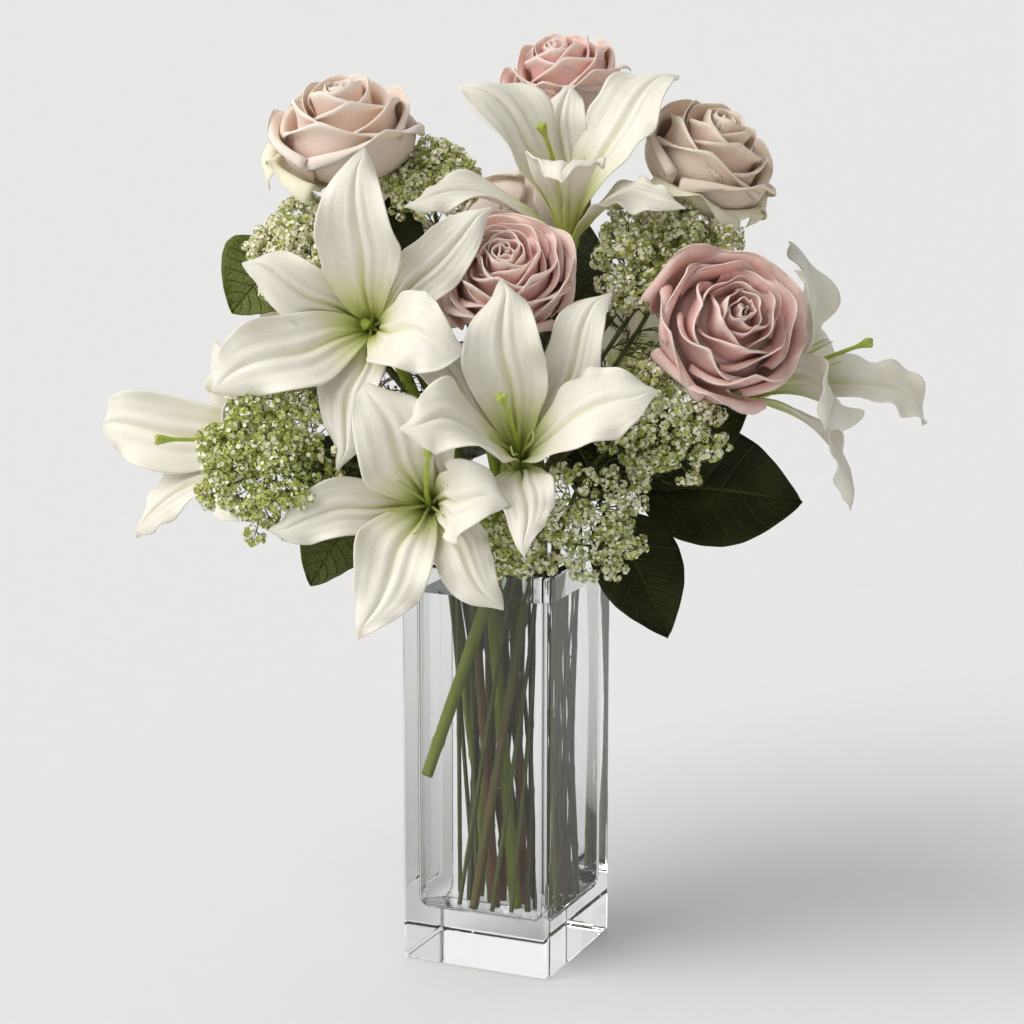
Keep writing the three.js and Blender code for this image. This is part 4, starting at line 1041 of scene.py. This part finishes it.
def make_vase(glass, water):
    lip = [(0, 1.4), (0.2, 0.7), (0.7, 0.2), (1.4, 0)]
    outer = fillet(VASE_HALF, VASE_CORNER, 0, 2.3)
    outer += [(VASE_HALF - inset, VASE_CORNER, VASE_TOP - down) for inset, down in lip]
    mouth = [(1.4, 6.2, 0), (0.7, 6.6, 0.2), (0.2, BORE_CORNER, 0.8), (0, BORE_CORNER, 1.6)]
    inner = [(BORE_HALF + wide, radius, VASE_TOP - down) for wide, radius, down in mouth]
    shell = Sheaf()
    closed_pillar(shell, outer + inner + bore_floor()[::-1])
    build("vase_glass", shell, glass, ["vase"], flat=True)
    fill = Sheaf()
    top = (BORE_HALF + WATER_ROOM, BORE_CORNER + WATER_ROUND, WATER_Z)
    closed_pillar(fill, bore_floor(WATER_ROOM, WATER_ROUND) + [top])
    build("vase_water", fill, water, ["water"], flat=True)


# ---- the arrangement
petal = lily_material()
green = pistil_material()
solid_things = []
for name, bloom in LILIES.items():
    solid_things.append(make_lily(name, bloom, petal))
    make_pistil(name, bloom, green)

tints = {tint: rose_material(tint) for tint in ROSE_TINTS}
woody = stem_material("rose_stem")
for k, (name, rose) in enumerate(ROSES.items()):
    tint = rose["tint"]
    solid_things.append(make_rose(name, rose, tints[tint]))
    make_rose_stem(name, rose, woody, seed=11 + k)

fresh = stem_material("lily_stem")
for name, plan in LILY_STEMS.items():
    make_lily_stem(name, plan, fresh)

dark = leaf_material()
twig = stem_material("leaf_stem")
for name, spray in FOLIAGE.items():
    solid_things.append(make_leaves(name, spray, dark, twig))

white = lace_material()
thin = stem_material("lace_stem")
clearance = Clearance(solid_things)
for name, lace in LACES.items():
    hub, axis = make_lace(name, lace, white, clearance)
    make_lace_stem(name, lace, hub, axis, thin, clearance)

make_vase(
    clear_material("clear_glass", (0.985, 0.995, 0.99), ior=1.5, ripple=0.00001, passed=0.66, mirror=0.5),
    clear_material("water", (0.995, 1.0, 0.995), ior=1.333, ripple=0.00002, passed=0.76, mirror=0.15),
)


# ---- camera, light and floor
def aim(thing, way):
    """Turns a camera or a lamp towards a direction of the bouquet's frame."""
    thing.rotation_mode = "QUATERNION"
    thing.rotation_quaternion = Vector(world(way)).to_track_quat("-Z", "Y")


def make_camera():
    data = bpy.data.cameras.new("camera")
    data.sensor_width = 36
    data.lens = 96.3
    data.clip_end = 100
    cam = add("camera", data)
    cam.location = world([0, -1500, 564]).tolist()
    yaw, pitch = math.radians(-0.108), math.radians(11.66)
    ahead = np.array([-math.sin(yaw) * math.cos(pitch), math.cos(yaw) * math.cos(pitch), -math.sin(pitch)])
    aim(cam, ahead * 1000)
    bpy.context.scene.camera = cam


def make_sun(name, strength, spread, way):
    sun = bpy.data.lights.new(name, "SUN")
    sun.energy = strength
    sun.angle = math.radians(spread)
    sun.color = (1.0, 0.985, 0.965)
    aim(add(name, sun), way)


def make_sky():
    """A studio's surround, from dim in front of the object to bright behind it."""
    start, end, dim, bright = 0.2, 0.9, 0.32, 0.9
    sky = bpy.data.worlds.new("studio")
    sky.use_nodes = True
    tree = sky.node_tree
    light = tree.nodes["Background"]
    light.inputs["Color"].default_value = (0.985, 0.99, 1.0, 1)
    toward = tree.nodes.new("ShaderNodeVectorMath")
    toward.operation = "DOT_PRODUCT"
    toward.inputs[1].default_value = unit(world([0, 1000, 0])).tolist()
    band = tree.nodes.new("ShaderNodeMapRange")
    band.interpolation_type = "SMOOTHSTEP"
    for socket, value in zip(list(band.inputs)[1:5], (start, end, dim, bright)):
        socket.default_value = value
    tree.links.new(tree.nodes.new("ShaderNodeTexCoord").outputs["Generated"], toward.inputs[0])
    tree.links.new(toward.outputs["Value"], band.inputs[0])
    tree.links.new(band.outputs[0], light.inputs["Strength"])
    bpy.context.scene.world = sky


def make_floor():
    """Paper just below the vase's foot."""
    bpy.ops.mesh.primitive_plane_add(size=80)
    floor = bpy.context.object
    floor.name = "floor"
    floor.location.z = -0.0004
    paper = Shade("paper")
    grain = paper.blend(paper.noise(40.0), (0.79, 0.79, 0.79), (0.81, 0.81, 0.81))
    floor.data.materials.append(paper.finish(grain, 0.9))


make_camera()
make_sun("key", 2.4, 54, (0.66, 0.29, -0.69))
make_sun("side", 0.42, 60, (0.62, 0.62, -0.48))
bpy.context.scene.view_settings.view_transform = "Standard"
make_sky()
make_floor()
